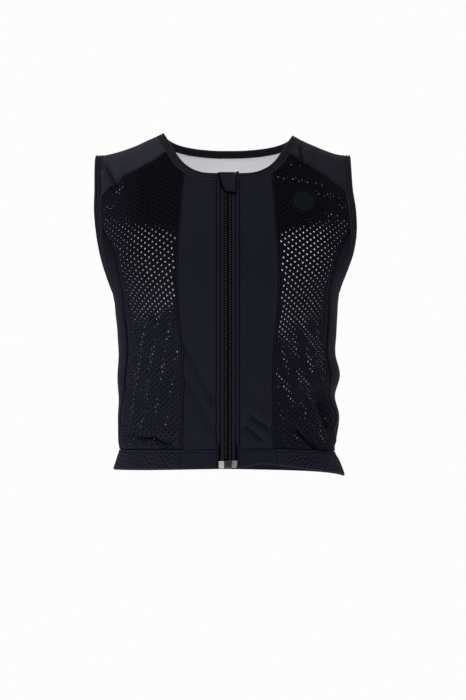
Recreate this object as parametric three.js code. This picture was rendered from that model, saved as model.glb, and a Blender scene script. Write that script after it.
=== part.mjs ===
import * as THREE from 'three';

// An equestrian body protector: a close vest with a full-length front zip. Stretch cloth runs
// beside the zip, perforated air mesh covers the chest and ribs, stretch cloth covers the sides
// and shoulders, and the back is one padded panel. Every free edge carries a sewn binding or a hem.
// Millimetres, +Z up, +X towards the wearer's left and -Y to the front. The origin lies midway
// between the shoulders, at the height where the vest rests on them.

// Size and shape of the worn vest
const bodyLength = 450; // shoulder rest down to the front hem
const shoulderTipDrop = 14; // shoulder rest down to the top of the armhole
const armholeHeight = 191;
const armholeFrontReach = 47; // how far the armhole opens forward of the shoulder ridge
const armholeBackReach = 50;
const shoulderHalfWidth = 180;
const sideHalfWidth = 154.6;
const frontDepth = 125; // shoulder ridge forward to the chest
const backDepth = 107; // shoulder ridge back to the shoulder blades
const neckHalfWidth = 89;
const neckRise = 17; // neck point above the shoulder rest
const frontNeckDrop = 55;
const backNeckDrop = 20;
const frontFullness = 0.8; // 1 gives elliptical cross-sections, less gives squarer ones
const backFullness = 0.72;

// Cloth, bindings and hems
const clothThickness = 2.4;
const meshThickness = 2.2;
const hemThickness = 3;
const hemBandHeight = 27;
const bindingWidth = 12;
const bindingThickness = 3.4;
const bindingTuck = 0.6; // how far a binding reaches inside the cloth
const bindingValleyDepth = 0.7; // stitched valley along the middle of a binding
const bindingValleyHalfWidth = 0.8;
const seamGap = 0.6;
const stackGap = 0.3;
const padThickness = 12; // foam added inside the back panel
const padHalfWidth = 112;
const padTopDrop = 40; // shoulder rest down to the pad's top edge
const padHemClearance = 42;
const padSlope = 30; // width of the pad's rounded edge
const padSquareness = 4; // 2 gives an oval pad, more gives a squarer one
const foldReach = 9; // half width of a plain fold
const foldHeight = 4;

// Zip
const chainHalfWidth = 4.6;
const chainThickness = 3.3;
const chainValley = 2.3; // thickness where the two rows of teeth meet
const tapeThickness = 1.2;
const tapeVisibleWidth = 5.6;
const weltWidth = 4.6;
const weltThickness = 3.4;
const boxHeight = 12;
const boxThickness = 3.9;
const boxBevel = 1;
const endTabWidth = 8;
const endTabHeight = 10;
const endTabThickness = 1;
const endTabMargin = 0.8; // hem's lower edge up to the box and the end tabs
const weltOpening = 16; // height over which the welts draw apart above the end tabs
const sliderHeight = 14;
const sliderHalfWidth = 6;
const sliderThickness = 3.1;
const sliderCover = 8; // how far the garage hangs below the slider
const garageHeight = 30;
const garageThickness = 2;
const garageLowShare = 0.2; // where its lower edge starts, as a share of its upper half width
const garageTilt = 3; // how much higher its lower edge is at that start
const garageRoll = 6; // height over which the garage turns down to the neck edge
const zipTopMargin = 0.6;

// Badge
const badgeRadius = 19;
const badgeFaceRadius = 13;
const badgeStepWidth = 1.5;
const badgeRimThickness = 0.9;
const badgeFaceThickness = 1.8;
const badgeCentreAcross = 105;
const badgeCentreDrop = 78;

// The side outline from the hem (level 0) to the armpit (level 1), as shares of sideHalfWidth.
const sideOutline = [
  { level: 0, right: 1.025, left: 1.045 },
  { level: 0.06, right: 0.994, left: 1.0 },
  { level: 0.105, right: 0.972, left: 0.955 },
  { level: 0.17, right: 0.984, left: 0.965 },
  { level: 0.3, right: 0.984, left: 0.995 },
  { level: 0.41, right: 0.98, left: 0.955 },
  { level: 0.53, right: 0.99, left: 1.0 },
  { level: 0.65, right: 0.98, left: 0.965 },
  { level: 0.78, right: 0.987, left: 0.97 },
  { level: 0.9, right: 1.006, left: 0.98 },
  { level: 1, right: 1.025, left: 0.987 },
];

// The armhole outline from the armpit (level 1) to the ridge (level 2), as shares of the way from
// the armpit's half width to the shoulder's, and the shoulder's own share of shoulderHalfWidth.
const shoulderShare = { right: 1.038, left: 0.992 };
const armholeOutline = [
  { level: 1, right: 0, left: 0 },
  { level: 1.05, right: 0.21, left: 0.2 },
  { level: 1.117, right: 0.46, left: 0.51 },
  { level: 1.193, right: 0.68, left: 0.81 },
  { level: 1.294, right: 0.875, left: 1 },
  { level: 1.411, right: 1, left: 1 },
  { level: 1.549, right: 1, left: 0.85 },
  { level: 1.737, right: 1.01, left: 0.78 },
  { level: 2, right: 0.98, left: 0.74 },
];

// How far the middle of the vest stands from the shoulder ridge, as shares of the two depths.
const depthOutline = [
  { level: 0, front: 0.905, back: 0.9 },
  { level: 0.105, front: 0.89, back: 0.87 },
  { level: 0.3, front: 0.9, back: 0.84 },
  { level: 0.5, front: 0.92, back: 0.83 },
  { level: 0.7, front: 0.955, back: 0.87 },
  { level: 0.86, front: 0.985, back: 0.92 },
  { level: 1, front: 1, back: 0.965 },
  { level: 1.105, front: 0.965, back: 0.99 },
  { level: 1.226, front: 0.856, back: 1 },
  { level: 1.342, front: 0.712, back: 0.975 },
  { level: 1.479, front: 0.528, back: 0.88 },
  { level: 1.61, front: 0.384, back: 0.74 },
  { level: 1.744, front: 0.248, back: 0.54 },
  { level: 1.893, front: 0.104, back: 0.25 },
  { level: 2, front: 0, back: 0 },
];

// The neck edge from the middle of the front round to the middle of the back: shares of
// neckHalfWidth across, and of the front or back neck drop down from the neck point.
const neckEdgeFront = [
  { step: 0, across: 0, drop: 1 },
  { step: 0.125, across: 0.2, drop: 0.995 },
  { step: 0.25, across: 0.39, drop: 0.975 },
  { step: 0.375, across: 0.56, drop: 0.88 },
  { step: 0.5, across: 0.7, drop: 0.715 },
  { step: 0.625, across: 0.805, drop: 0.5 },
  { step: 0.75, across: 0.89, drop: 0.28 },
  { step: 0.875, across: 0.955, drop: 0.11 },
  { step: 1, across: 1, drop: 0 },
];
const neckEdgeBack = [
  { step: 0, across: 1, drop: 0 },
  { step: 0.2, across: 0.93, drop: 0.36 },
  { step: 0.4, across: 0.76, drop: 0.68 },
  { step: 0.6, across: 0.52, drop: 0.88 },
  { step: 0.8, across: 0.26, drop: 0.98 },
  { step: 0.9, across: 0.13, drop: 1 },
  { step: 1, across: 0, drop: 1 },
];

// Seams. rise is the share of bodyLength above the hem and across the share of sideHalfWidth or of
// the local half width. drop is the share of armholeHeight below the shoulder rest.
const princessSeam = [
  { rise: 0, across: 0.422 },
  { rise: 0.144, across: 0.407 },
  { rise: 0.282, across: 0.405 },
  { rise: 0.38, across: 0.414 },
  { rise: 0.484, across: 0.444 },
  { rise: 0.589, across: 0.457 },
  { rise: 0.658, across: 0.452 },
  { rise: 0.738, across: 0.438 },
  { rise: 0.82, across: 0.42 },
  { rise: 0.904, across: 0.401 },
  { rise: 1, across: 0.38 },
];
const sideSeamFront = [
  { rise: 0, across: 0.99 },
  { rise: 0.06, across: 0.99 },
  { rise: 0.173, across: 0.972 },
  { rise: 0.26, across: 0.935 },
  { rise: 0.338, across: 0.912 },
  { rise: 0.431, across: 0.912 },
  { rise: 0.509, across: 0.917 },
  { rise: 0.587, across: 0.9 },
  { rise: 0.664, across: 0.885 },
  { rise: 0.73, across: 0.94 },
  { rise: 0.78, across: 0.985 },
];
const sideSeamBack = [
  { rise: 0, across: 0.93 },
  { rise: 0.3, across: 0.9 },
  { rise: 0.6, across: 0.885 },
  { rise: 0.72, across: 0.93 },
  { rise: 0.8, across: 0.985 },
];
const yokeSeamFront = [
  { across: 0.4, drop: 0.01 },
  { across: 0.49, drop: 0.057 },
  { across: 0.55, drop: 0.097 },
  { across: 0.62, drop: 0.133 },
  { across: 0.69, drop: 0.173 },
  { across: 0.755, drop: 0.206 },
  { across: 0.81, drop: 0.251 },
  { across: 0.86, drop: 0.283 },
  { across: 0.9, drop: 0.314 },
  { across: 0.94, drop: 0.366 },
  { across: 1, drop: 0.45 },
];
const yokeSeamBack = [
  { across: 0.3, drop: -0.04 },
  { across: 0.45, drop: 0.05 },
  { across: 0.6, drop: 0.13 },
  { across: 0.8, drop: 0.235 },
  { across: 1, drop: 0.36 },
];

// How far the hem hangs below its mean line, as shares of hemBandHeight, going round from the
// wearer's back right side (-180 degrees) through the front (0) to the back left side (180).
const hemWave = [
  { around: -180, drop: 0.1 },
  { around: -135, drop: 0.15 },
  { around: -90, drop: 0.08 },
  { around: -60, drop: 0.03 },
  { around: -30, drop: 0 },
  { around: -8, drop: -0.02 },
  { around: 0, drop: -0.05 },
  { around: 8, drop: -0.12 },
  { around: 16, drop: -0.26 },
  { around: 25, drop: -0.21 },
  { around: 37, drop: -0.06 },
  { around: 50, drop: 0.08 },
  { around: 65, drop: 0.22 },
  { around: 80, drop: 0.31 },
  { around: 90, drop: 0.4 },
  { around: 135, drop: 0.2 },
  { around: 180, drop: 0.1 },
];
const hemWaveReach = 0.25; // level at which the hem's waves have died out

// Folds in the front, each along a line between two places: across as shares of sideHalfWidth,
// positive to the wearer's left, rise as shares of bodyLength. spread is a share of foldReach and
// lift a share of foldHeight, negative for a crease.
const folds = [
  { across: -0.86, rise: 0.103, endAcross: -0.5, endRise: 0.083, spread: 0.75, lift: -1 },
  { across: -0.84, rise: 0.128, endAcross: -0.52, endRise: 0.112, spread: 1, lift: 0.7 },
  { across: 0.6, rise: 0.125, endAcross: 0.84, endRise: 0.06, spread: 0.75, lift: -1 },
  { across: 0.66, rise: 0.145, endAcross: 0.9, endRise: 0.085, spread: 1, lift: 0.8 },
  { across: 0.8, rise: 0.235, endAcross: 0.93, endRise: 0.125, spread: 1, lift: -1.3 },
  { across: 0.2, rise: 0.165, endAcross: 0.4, endRise: 0.118, spread: 0.7, lift: -0.5 },
  { across: 0.16, rise: 0.13, endAcross: 0.28, endRise: 0.095, spread: 0.7, lift: -0.45 },
  { across: -0.36, rise: 0.37, endAcross: -0.13, endRise: 0.22, spread: 1, lift: -0.4 },
  { across: -0.34, rise: 0.25, endAcross: -0.17, endRise: 0.12, spread: 0.9, lift: -0.4 },
];

// Sampling of the solids
const frontColumns = 4;
const rowsBelowArmhole = 16;
const rowsBesideArmhole = 6;
const bodyRows = rowsBelowArmhole + rowsBesideArmhole;
const yokeColumns = 7;
const neckTopColumns = 3;
const sideColumns = 12;
const yokeRows = 5; // on each side of the ridge
const backNeckColumns = 5;
const hemRows = 2;
const backHemColumns = 28;
const garageCells = 6;
const zipRows = 26;
const fittingRows = 3;
const badgeSegments = 24;

const hemHeight = -bodyLength;
const tipHeight = -shoulderTipDrop;
const armpitHeight = tipHeight - armholeHeight;
const sideHeight = armpitHeight - hemHeight;
const hemLevel = hemBandHeight / sideHeight;
const quarterTurn = Math.PI / 2;
const small = 1e-3;

const left = 1;
const right = -1;
const sideName = (side) => (side === left ? 'left' : 'right');
const mix = (a, b, share) => a + (b - a) * share;
const clamp = (value, low, high) => Math.min(high, Math.max(low, value));

// Smooth value of a table's column at a place given in its key column.
function follow(table, key, column, at) {
  const last = table.length - 1;
  const place = clamp(at, table[0][key], table[last][key]);
  let i = 0;
  while (i < last - 1 && place > table[i + 1][key]) i += 1;
  const slope = (j) => {
    const low = table[Math.max(0, j - 1)];
    const high = table[Math.min(last, j + 1)];
    return (high[column] - low[column]) / (high[key] - low[key]);
  };
  const start = table[i];
  const end = table[i + 1];
  const span = end[key] - start[key];
  const t = (place - start[key]) / span;
  const t2 = t * t;
  const t3 = t2 * t;
  return (
    (2 * t3 - 3 * t2 + 1) * start[column] +
    (t3 - 2 * t2 + t) * span * slope(i) +
    (3 * t2 - 2 * t3) * end[column] +
    (t3 - t2) * span * slope(i + 1)
  );
}

// Where a function that changes sign between low and high is zero.
function zeroBetween(low, high, f) {
  let a = low;
  let b = high;
  const startsPositive = f(a) > 0;
  for (let i = 0; i < 40; i += 1) {
    const middle = (a + b) / 2;
    if (f(middle) > 0 === startsPositive) a = middle;
    else b = middle;
  }
  return (a + b) / 2;
}

// The worn surface. A spot on it has a sheet (front or back), a side, an angle round from the
// middle line towards that side, and a level: 0 at the hem, 1 at the armpit, 2 on the ridge.
const ridgeFall = (share) => 1 - (1 - share * share) ** 2;
const neckFall = ridgeFall(neckHalfWidth / shoulderHalfWidth);
const middleTopHeight = (neckRise - tipHeight * neckFall) / (1 - neckFall);
const climb = (level) => Math.sin((Math.min(level, 2) - 1) * quarterTurn);

function edgeHeight(level) {
  if (level <= 1) return hemHeight + sideHeight * level;
  return armpitHeight + armholeHeight * climb(level);
}

function middleHeightAt(level) {
  if (level <= 1) return hemHeight + sideHeight * level;
  return armpitHeight + (middleTopHeight - armpitHeight) * climb(level);
}

function edgeHalfWidth(side, level) {
  const name = sideName(side);
  const low = sideHalfWidth * follow(sideOutline, 'level', name, Math.min(level, 1));
  if (level <= 1) return low;
  return mix(low, shoulderHalfWidth * shoulderShare[name], follow(armholeOutline, 'level', name, level));
}

function middleDepth(front, level) {
  const depth = front ? frontDepth : backDepth;
  return depth * follow(depthOutline, 'level', front ? 'front' : 'back', level);
}

// The angle at which the armhole cuts a sheet.
function edgeAngle(front, level) {
  if (level <= 1) return quarterTurn;
  const near = Math.min(level, 2 - small);
  const rise = climb(near);
  const reach = (front ? armholeFrontReach : armholeBackReach) * Math.sqrt(4 * rise * (1 - rise));
  const fullness = front ? frontFullness : backFullness;
  return Math.acos(clamp(reach / middleDepth(front, near), 0, 0.97) ** (1 / fullness));
}

const sheetHalfWidth = (front, side, level) =>
  edgeHalfWidth(side, level) / Math.sin(edgeAngle(front, level));
const angleAt = (front, side, level, across) =>
  Math.asin(clamp(across / sheetHalfWidth(front, side, level), -1, 1));

function heightAt(side, level, across) {
  const share = Math.min(1, Math.abs(across) / edgeHalfWidth(side, level));
  return mix(middleHeightAt(level), edgeHeight(level), ridgeFall(share));
}

function spotAt(front, side, across, height) {
  const level = zeroBetween(0, 2, (tried) => heightAt(side, tried, across) - height);
  return { front, side, angle: angleAt(front, side, level, across), level };
}

function basePoint({ front, side, angle, level }) {
  const across = sheetHalfWidth(front, side, level) * Math.sin(angle);
  const fullness = front ? frontFullness : backFullness;
  const depth = middleDepth(front, level) * Math.max(0, Math.cos(angle)) ** fullness;
  return new THREE.Vector3(side * across, front ? -depth : depth, heightAt(side, level, across));
}

// Directions of growing angle and growing level, and the outward normal, of a surface function.
function slopes(pointOn, spot) {
  const lowAngle = spot.angle - small;
  const highAngle = Math.min(spot.angle + small, quarterTurn);
  const lowLevel = Math.max(0, Math.min(spot.level, 2 - small) - small);
  const highLevel = Math.min(2, spot.level + small);
  const alongAngle = pointOn({ ...spot, angle: highAngle })
    .sub(pointOn({ ...spot, angle: lowAngle }))
    .divideScalar(highAngle - lowAngle);
  const alongLevel = pointOn({ ...spot, level: highLevel })
    .sub(pointOn({ ...spot, level: lowLevel }))
    .divideScalar(highLevel - lowLevel);
  const outward = new THREE.Vector3().crossVectors(alongAngle, alongLevel).normalize();
  outward.multiplyScalar(spot.side * (spot.front ? 1 : -1));
  return { alongAngle, alongLevel, outward };
}

function foldLift(point) {
  return folds.reduce((total, fold) => {
    const startX = fold.across * sideHalfWidth;
    const startZ = hemHeight + fold.rise * bodyLength;
    const runX = fold.endAcross * sideHalfWidth - startX;
    const runZ = hemHeight + fold.endRise * bodyLength - startZ;
    const run = Math.hypot(runX, runZ);
    const along = ((point.x - startX) * runX + (point.z - startZ) * runZ) / run;
    const beside = ((point.x - startX) * runZ - (point.z - startZ) * runX) / run;
    const past = Math.max(0, -along, along - run);
    const reach = fold.spread * foldReach;
    return total + fold.lift * foldHeight * Math.exp(-((beside / reach) ** 2) - (past / reach) ** 2);
  }, 0);
}

function hemDrop(spot) {
  const fade = Math.max(0, 1 - spot.level / hemWaveReach) ** 2;
  const turn = THREE.MathUtils.radToDeg(spot.front ? spot.angle : Math.PI - spot.angle);
  return fade * hemBandHeight * follow(hemWave, 'around', 'drop', spot.side * turn);
}

function formedPoint(spot) {
  const point = basePoint(spot);
  const lift = spot.front ? foldLift(point) : 0;
  if (Math.abs(lift) > small) point.addScaledVector(slopes(basePoint, spot).outward, lift);
  point.z -= hemDrop(spot);
  return point;
}

function acrossRidge(spot) {
  const level = 2 - small;
  const across = basePoint({ ...spot, level }).x * spot.side;
  return { ...spot, front: !spot.front, level, angle: angleAt(!spot.front, spot.side, level, across) };
}

function outwardAt(spot) {
  const { outward } = slopes(formedPoint, spot);
  if (spot.level < 2 - small) return outward;
  return outward.add(slopes(formedPoint, acrossRidge(spot)).outward).normalize();
}

const place = (spot, lift) => formedPoint(spot).addScaledVector(outwardAt(spot), lift);

// The spot reached by walking over the surface in a direction.
function walk(spot, direction, distance) {
  const strides = 6;
  let here = spot;
  for (let i = 0; i < strides; i += 1) {
    const { alongAngle, alongLevel } = slopes(basePoint, here);
    const stride = direction.clone().multiplyScalar(distance / strides);
    const aa = alongAngle.dot(alongAngle);
    const al = alongAngle.dot(alongLevel);
    const ll = alongLevel.dot(alongLevel);
    const byAngle = stride.dot(alongAngle);
    const byLevel = stride.dot(alongLevel);
    const scale = aa * ll - al * al;
    here = {
      ...here,
      angle: here.angle + (byAngle * ll - byLevel * al) / scale,
      level: Math.min(2, here.level + (byLevel * aa - byAngle * al) / scale),
    };
    if (here.angle > quarterTurn) here = { ...here, front: !here.front, angle: Math.PI - here.angle };
  }
  return here;
}

// An edge of the vest: a function from a step to a spot, and the way away from the opening.
function edgePath(spotOn, side, awaySign, firstStep, lastStep) {
  const away = (step) => {
    const spot = spotOn(step);
    const before = basePoint(spotOn(Math.max(firstStep, step - small)));
    const after = basePoint(spotOn(Math.min(lastStep, step + small)));
    const tangent = after.sub(before).normalize();
    const base = slopes(basePoint, spot).outward;
    if (spot.level > 2 - small) base.add(slopes(basePoint, acrossRidge(spot)).outward).normalize();
    return new THREE.Vector3().crossVectors(tangent, base).multiplyScalar(awaySign * side).normalize();
  };
  const inside = (step, distance) => walk(spotOn(step), away(step), distance);
  return { spotOn, inside, seam: (step) => inside(step, bindingWidth) };
}

function neckPath(side) {
  const neckPointHeight = heightAt(side, 2, neckHalfWidth);
  const spotOn = (step) => {
    const front = step <= 1;
    const table = front ? neckEdgeFront : neckEdgeBack;
    const at = front ? step : step - 1;
    const across = neckHalfWidth * follow(table, 'step', 'across', at);
    const drop = follow(table, 'step', 'drop', at);
    if (drop < small) return { front, side, angle: angleAt(front, side, 2 - small, across), level: 2 };
    const middleHeight = neckRise - (front ? frontNeckDrop : backNeckDrop);
    return spotAt(front, side, across, mix(neckPointHeight, middleHeight, drop));
  };
  return edgePath(spotOn, side, 1, 0, 2);
}

function armPath(side) {
  const spotOn = (step) => {
    const front = step <= 1;
    const share = (1 - Math.cos(Math.PI * (front ? step : 2 - step))) / 2;
    const level = 1 + Math.asin(clamp(share, 0, 1)) / quarterTurn;
    return { front, side, angle: edgeAngle(front, level), level };
  };
  return edgePath(spotOn, side, -1, 0, 2);
}

const riseShare = (height) => (height - hemHeight) / bodyLength;
const localShare = (spot, point) => Math.abs(point.x) / edgeHalfWidth(spot.side, spot.level);

function seamSpot(front, side, table, level) {
  const height = edgeHeight(level);
  const across = edgeHalfWidth(side, level) * follow(table, 'rise', 'across', riseShare(height));
  return { front, side, angle: angleAt(front, side, level, across), level };
}

function princessSpot(side, level) {
  const height = zeroBetween(hemHeight, 0, (tried) => {
    const across = sideHalfWidth * follow(princessSeam, 'rise', 'across', riseShare(tried));
    return heightAt(side, level, across) - tried;
  });
  const across = sideHalfWidth * follow(princessSeam, 'rise', 'across', riseShare(height));
  return { front: true, side, angle: angleAt(true, side, level, across), level };
}

function yokeSpot(front, side, across) {
  const table = front ? yokeSeamFront : yokeSeamBack;
  const share = across / (shoulderHalfWidth * shoulderShare[sideName(side)]);
  return spotAt(front, side, across, -armholeHeight * follow(table, 'across', 'drop', share));
}

// Lists of count + 1 values or spots at even steps.
const evenly = (count, make) => Array.from({ length: count + 1 }, (_, i) => make(i / count));
const along = (path, from, to, count) => evenly(count, (share) => path.seam(mix(from, to, share)));
const join = (first, second) => [...first, ...second.slice(1)];
const pinned = (spots, first, last) => {
  const list = [...spots];
  if (first) list[0] = first;
  if (last) list[list.length - 1] = last;
  return list;
};

// Charts turn spots into the flat coordinates in which a panel is gridded, and back.
const flatChart = (front) => ({
  flatten: (spot) => {
    const point = basePoint(spot);
    return [point.x, point.z];
  },
  spot: ([across, height]) => spotAt(front, across < 0 ? right : left, Math.abs(across), height),
});
const turnChart = (side) => ({
  flatten: (spot) => [spot.angle, spot.level],
  spot: ([angle, level]) => ({ front: true, side, angle, level }),
});
const ringChart = {
  flatten: (spot) => [spot.side * (spot.front ? Math.PI - spot.angle : spot.angle), spot.level],
  spot: ([turn, level]) => {
    const side = turn < 0 ? right : left;
    const front = Math.abs(turn) > quarterTurn;
    return { front, side, angle: front ? Math.PI - Math.abs(turn) : Math.abs(turn), level };
  },
};
const ridgeChart = (side) => ({
  flatten: (spot) => [basePoint(spot).x * side, spot.front ? spot.level : 4 - spot.level],
  spot: ([across, travel]) => {
    const front = travel <= 2;
    const level = front ? travel : 4 - travel;
    return { front, side, angle: angleAt(front, side, Math.min(level, 2 - small), across), level };
  },
});

// Fills a four-sided patch from its edges. bottom and top run from left to right, and the other
// two from bottom to top.
function fillPatch(chart, bottom, rightEdge, top, leftEdge) {
  const [b, r, t, l] = [bottom, rightEdge, top, leftEdge].map((spots) => spots.map(chart.flatten));
  const columns = b.length - 1;
  const rows = l.length - 1;
  const grid = l.map((_, j) =>
    b.map((__, i) => {
      const u = i / columns;
      const v = j / rows;
      return [0, 1].map(
        (k) =>
          mix(b[i][k], t[i][k], v) +
          mix(l[j][k], r[j][k], u) -
          mix(mix(b[0][k], b[columns][k], u), mix(t[0][k], t[columns][k], u), v),
      );
    }),
  );
  const inset = (edge, next) => {
    const width = formedPoint(chart.spot(edge)).distanceTo(formedPoint(chart.spot(next)));
    const share = Math.min(0.45, seamGap / 2 / width);
    return [mix(edge[0], next[0], share), mix(edge[1], next[1], share)];
  };
  grid.forEach((row) => {
    row[0] = inset(row[0], row[1]);
    row[columns] = inset(row[columns], row[columns - 1]);
  });
  grid[0] = grid[0].map((edge, i) => inset(edge, grid[1][i]));
  grid[rows] = grid[rows].map((edge, i) => inset(edge, grid[rows - 1][i]));
  return grid.map((row) => row.map(chart.spot));
}

// Closed geometry along a section's places: a ring, or an open run whose ends are capped.
function sweptGeometry(section, rings, closed) {
  const size = section.length;
  const triangles = [];
  const count = closed ? rings.length : rings.length - 1;
  for (let i = 0; i < count; i += 1) {
    const here = i * size;
    const next = ((i + 1) % rings.length) * size;
    for (let j = 0; j < size; j += 1) {
      const k = (j + 1) % size;
      triangles.push([here + j, next + j, next + k], [here + j, next + k, here + k]);
    }
  }
  if (!closed) {
    const end = (rings.length - 1) * size;
    const outline = section.map(([across, lift]) => new THREE.Vector2(across, lift));
    const caps = THREE.ShapeUtils.triangulateShape(outline, []);
    caps.forEach(([a, b, c]) => triangles.push([a, b, c], [end + a, end + c, end + b]));
  }
  return facingOut(rings.flat(), triangles);
}

function facingOut(points, triangles) {
  const volume = triangles.reduce((sum, [a, b, c]) => {
    return sum + points[a].dot(new THREE.Vector3().crossVectors(points[b], points[c]));
  }, 0);
  const index = triangles.flatMap(([a, b, c]) => (volume < 0 ? [a, c, b] : [a, b, c]));
  const geometry = new THREE.BufferGeometry().setFromPoints(points);
  geometry.setIndex(index);
  geometry.computeVertexNormals();
  return geometry;
}

// A sheet with thickness over a grid of spots. lowLift and highLift give its two faces.
function sheetGeometry(grid, lowLift, highLift) {
  const rows = grid.length;
  const columns = grid[0].length;
  const face = (lift) => grid.flat().map((spot) => place(spot, lift(spot)));
  const low = face(lowLift);
  const high = face(highLift);
  const top = rows * columns;
  const at = (j, i) => j * columns + i;
  const triangles = [];
  for (let j = 0; j < rows - 1; j += 1) {
    for (let i = 0; i < columns - 1; i += 1) {
      const corners = [at(j, i), at(j, i + 1), at(j + 1, i + 1), at(j + 1, i)];
      const diagonal = (from, to) => high[corners[from]].distanceTo(high[corners[to]]);
      const turned = diagonal(0, 2) > diagonal(1, 3);
      const [a, b, c, d] = turned ? [...corners.slice(1), corners[0]] : corners;
      triangles.push([a, c, b], [a, d, c], [top + a, top + b, top + c], [top + a, top + c, top + d]);
    }
  }
  const rim = [];
  for (let i = 0; i < columns - 1; i += 1) {
    rim.push([at(0, i), at(0, i + 1)], [at(rows - 1, i + 1), at(rows - 1, i)]);
  }
  for (let j = 0; j < rows - 1; j += 1) {
    rim.push([at(j, columns - 1), at(j + 1, columns - 1)], [at(j + 1, 0), at(j, 0)]);
  }
  rim.forEach(([a, b]) => triangles.push([a, b, top + b], [a, top + b, top + a]));
  return facingOut([...low, ...high], triangles);
}

const materials = {
  stretchCloth: new THREE.MeshStandardMaterial({ color: 0x1d1d25, roughness: 0.85 }),
  airMesh: new THREE.MeshStandardMaterial({ color: 0x15151c, roughness: 0.95 }),
  yokeCloth: new THREE.MeshStandardMaterial({ color: 0x25262e, roughness: 0.7 }),
  bindingTape: new THREE.MeshStandardMaterial({ color: 0x191a21, roughness: 0.75 }),
  zipTape: new THREE.MeshStandardMaterial({ color: 0x16171c, roughness: 0.9 }),
  zipChain: new THREE.MeshStandardMaterial({ color: 0x101114, roughness: 0.45 }),
  zipMetal: new THREE.MeshStandardMaterial({ color: 0x5b554c, roughness: 0.35, metalness: 0.9 }),
  zipFilm: new THREE.MeshStandardMaterial({ color: 0xb4b5b8, roughness: 0.25, metalness: 0.4 }),
  badgeRubber: new THREE.MeshStandardMaterial({ color: 0x15181d, roughness: 0.5 }),
};

const vest = new THREE.Group();

function addPiece(name, geometry, material) {
  const piece = new THREE.Mesh(geometry, material);
  piece.name = name;
  vest.add(piece);
}

const liftAt = (lift) => (typeof lift === 'number' ? () => lift : lift);
function addSheet(name, grid, material, low, high) {
  addPiece(name, sheetGeometry(grid, liftAt(low), liftAt(high)), material);
}


const weltInner = chainHalfWidth + stackGap + tapeVisibleWidth + stackGap;
const zipHalfWidth = weltInner + weltWidth;
const neckEdgeMiddle = neckRise - frontNeckDrop;

// A binding's cross-section: two rows of cloth with a stitched valley between them.
const bindingValley = bindingWidth / 2;
const bindingEdge = bindingWidth - stackGap;
const bindingLow = bindingThickness - bindingValleyDepth;
const bindingSection = [
  [0, -bindingTuck],
  [bindingEdge, -bindingTuck],
  [bindingEdge, bindingLow],
  [bindingValley + bindingValleyHalfWidth, bindingThickness],
  [bindingValley, bindingLow],
  [bindingValley - bindingValleyHalfWidth, bindingThickness],
  [0, bindingLow],
];
const bindingRing = (path, step, fit = (spot) => spot) =>
  bindingSection.map(([width, lift]) => place(fit(path.inside(step, width)), lift));

const besideZip = (spot) => ({ ...spot, angle: angleAt(true, spot.side, spot.level, zipHalfWidth) });

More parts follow.
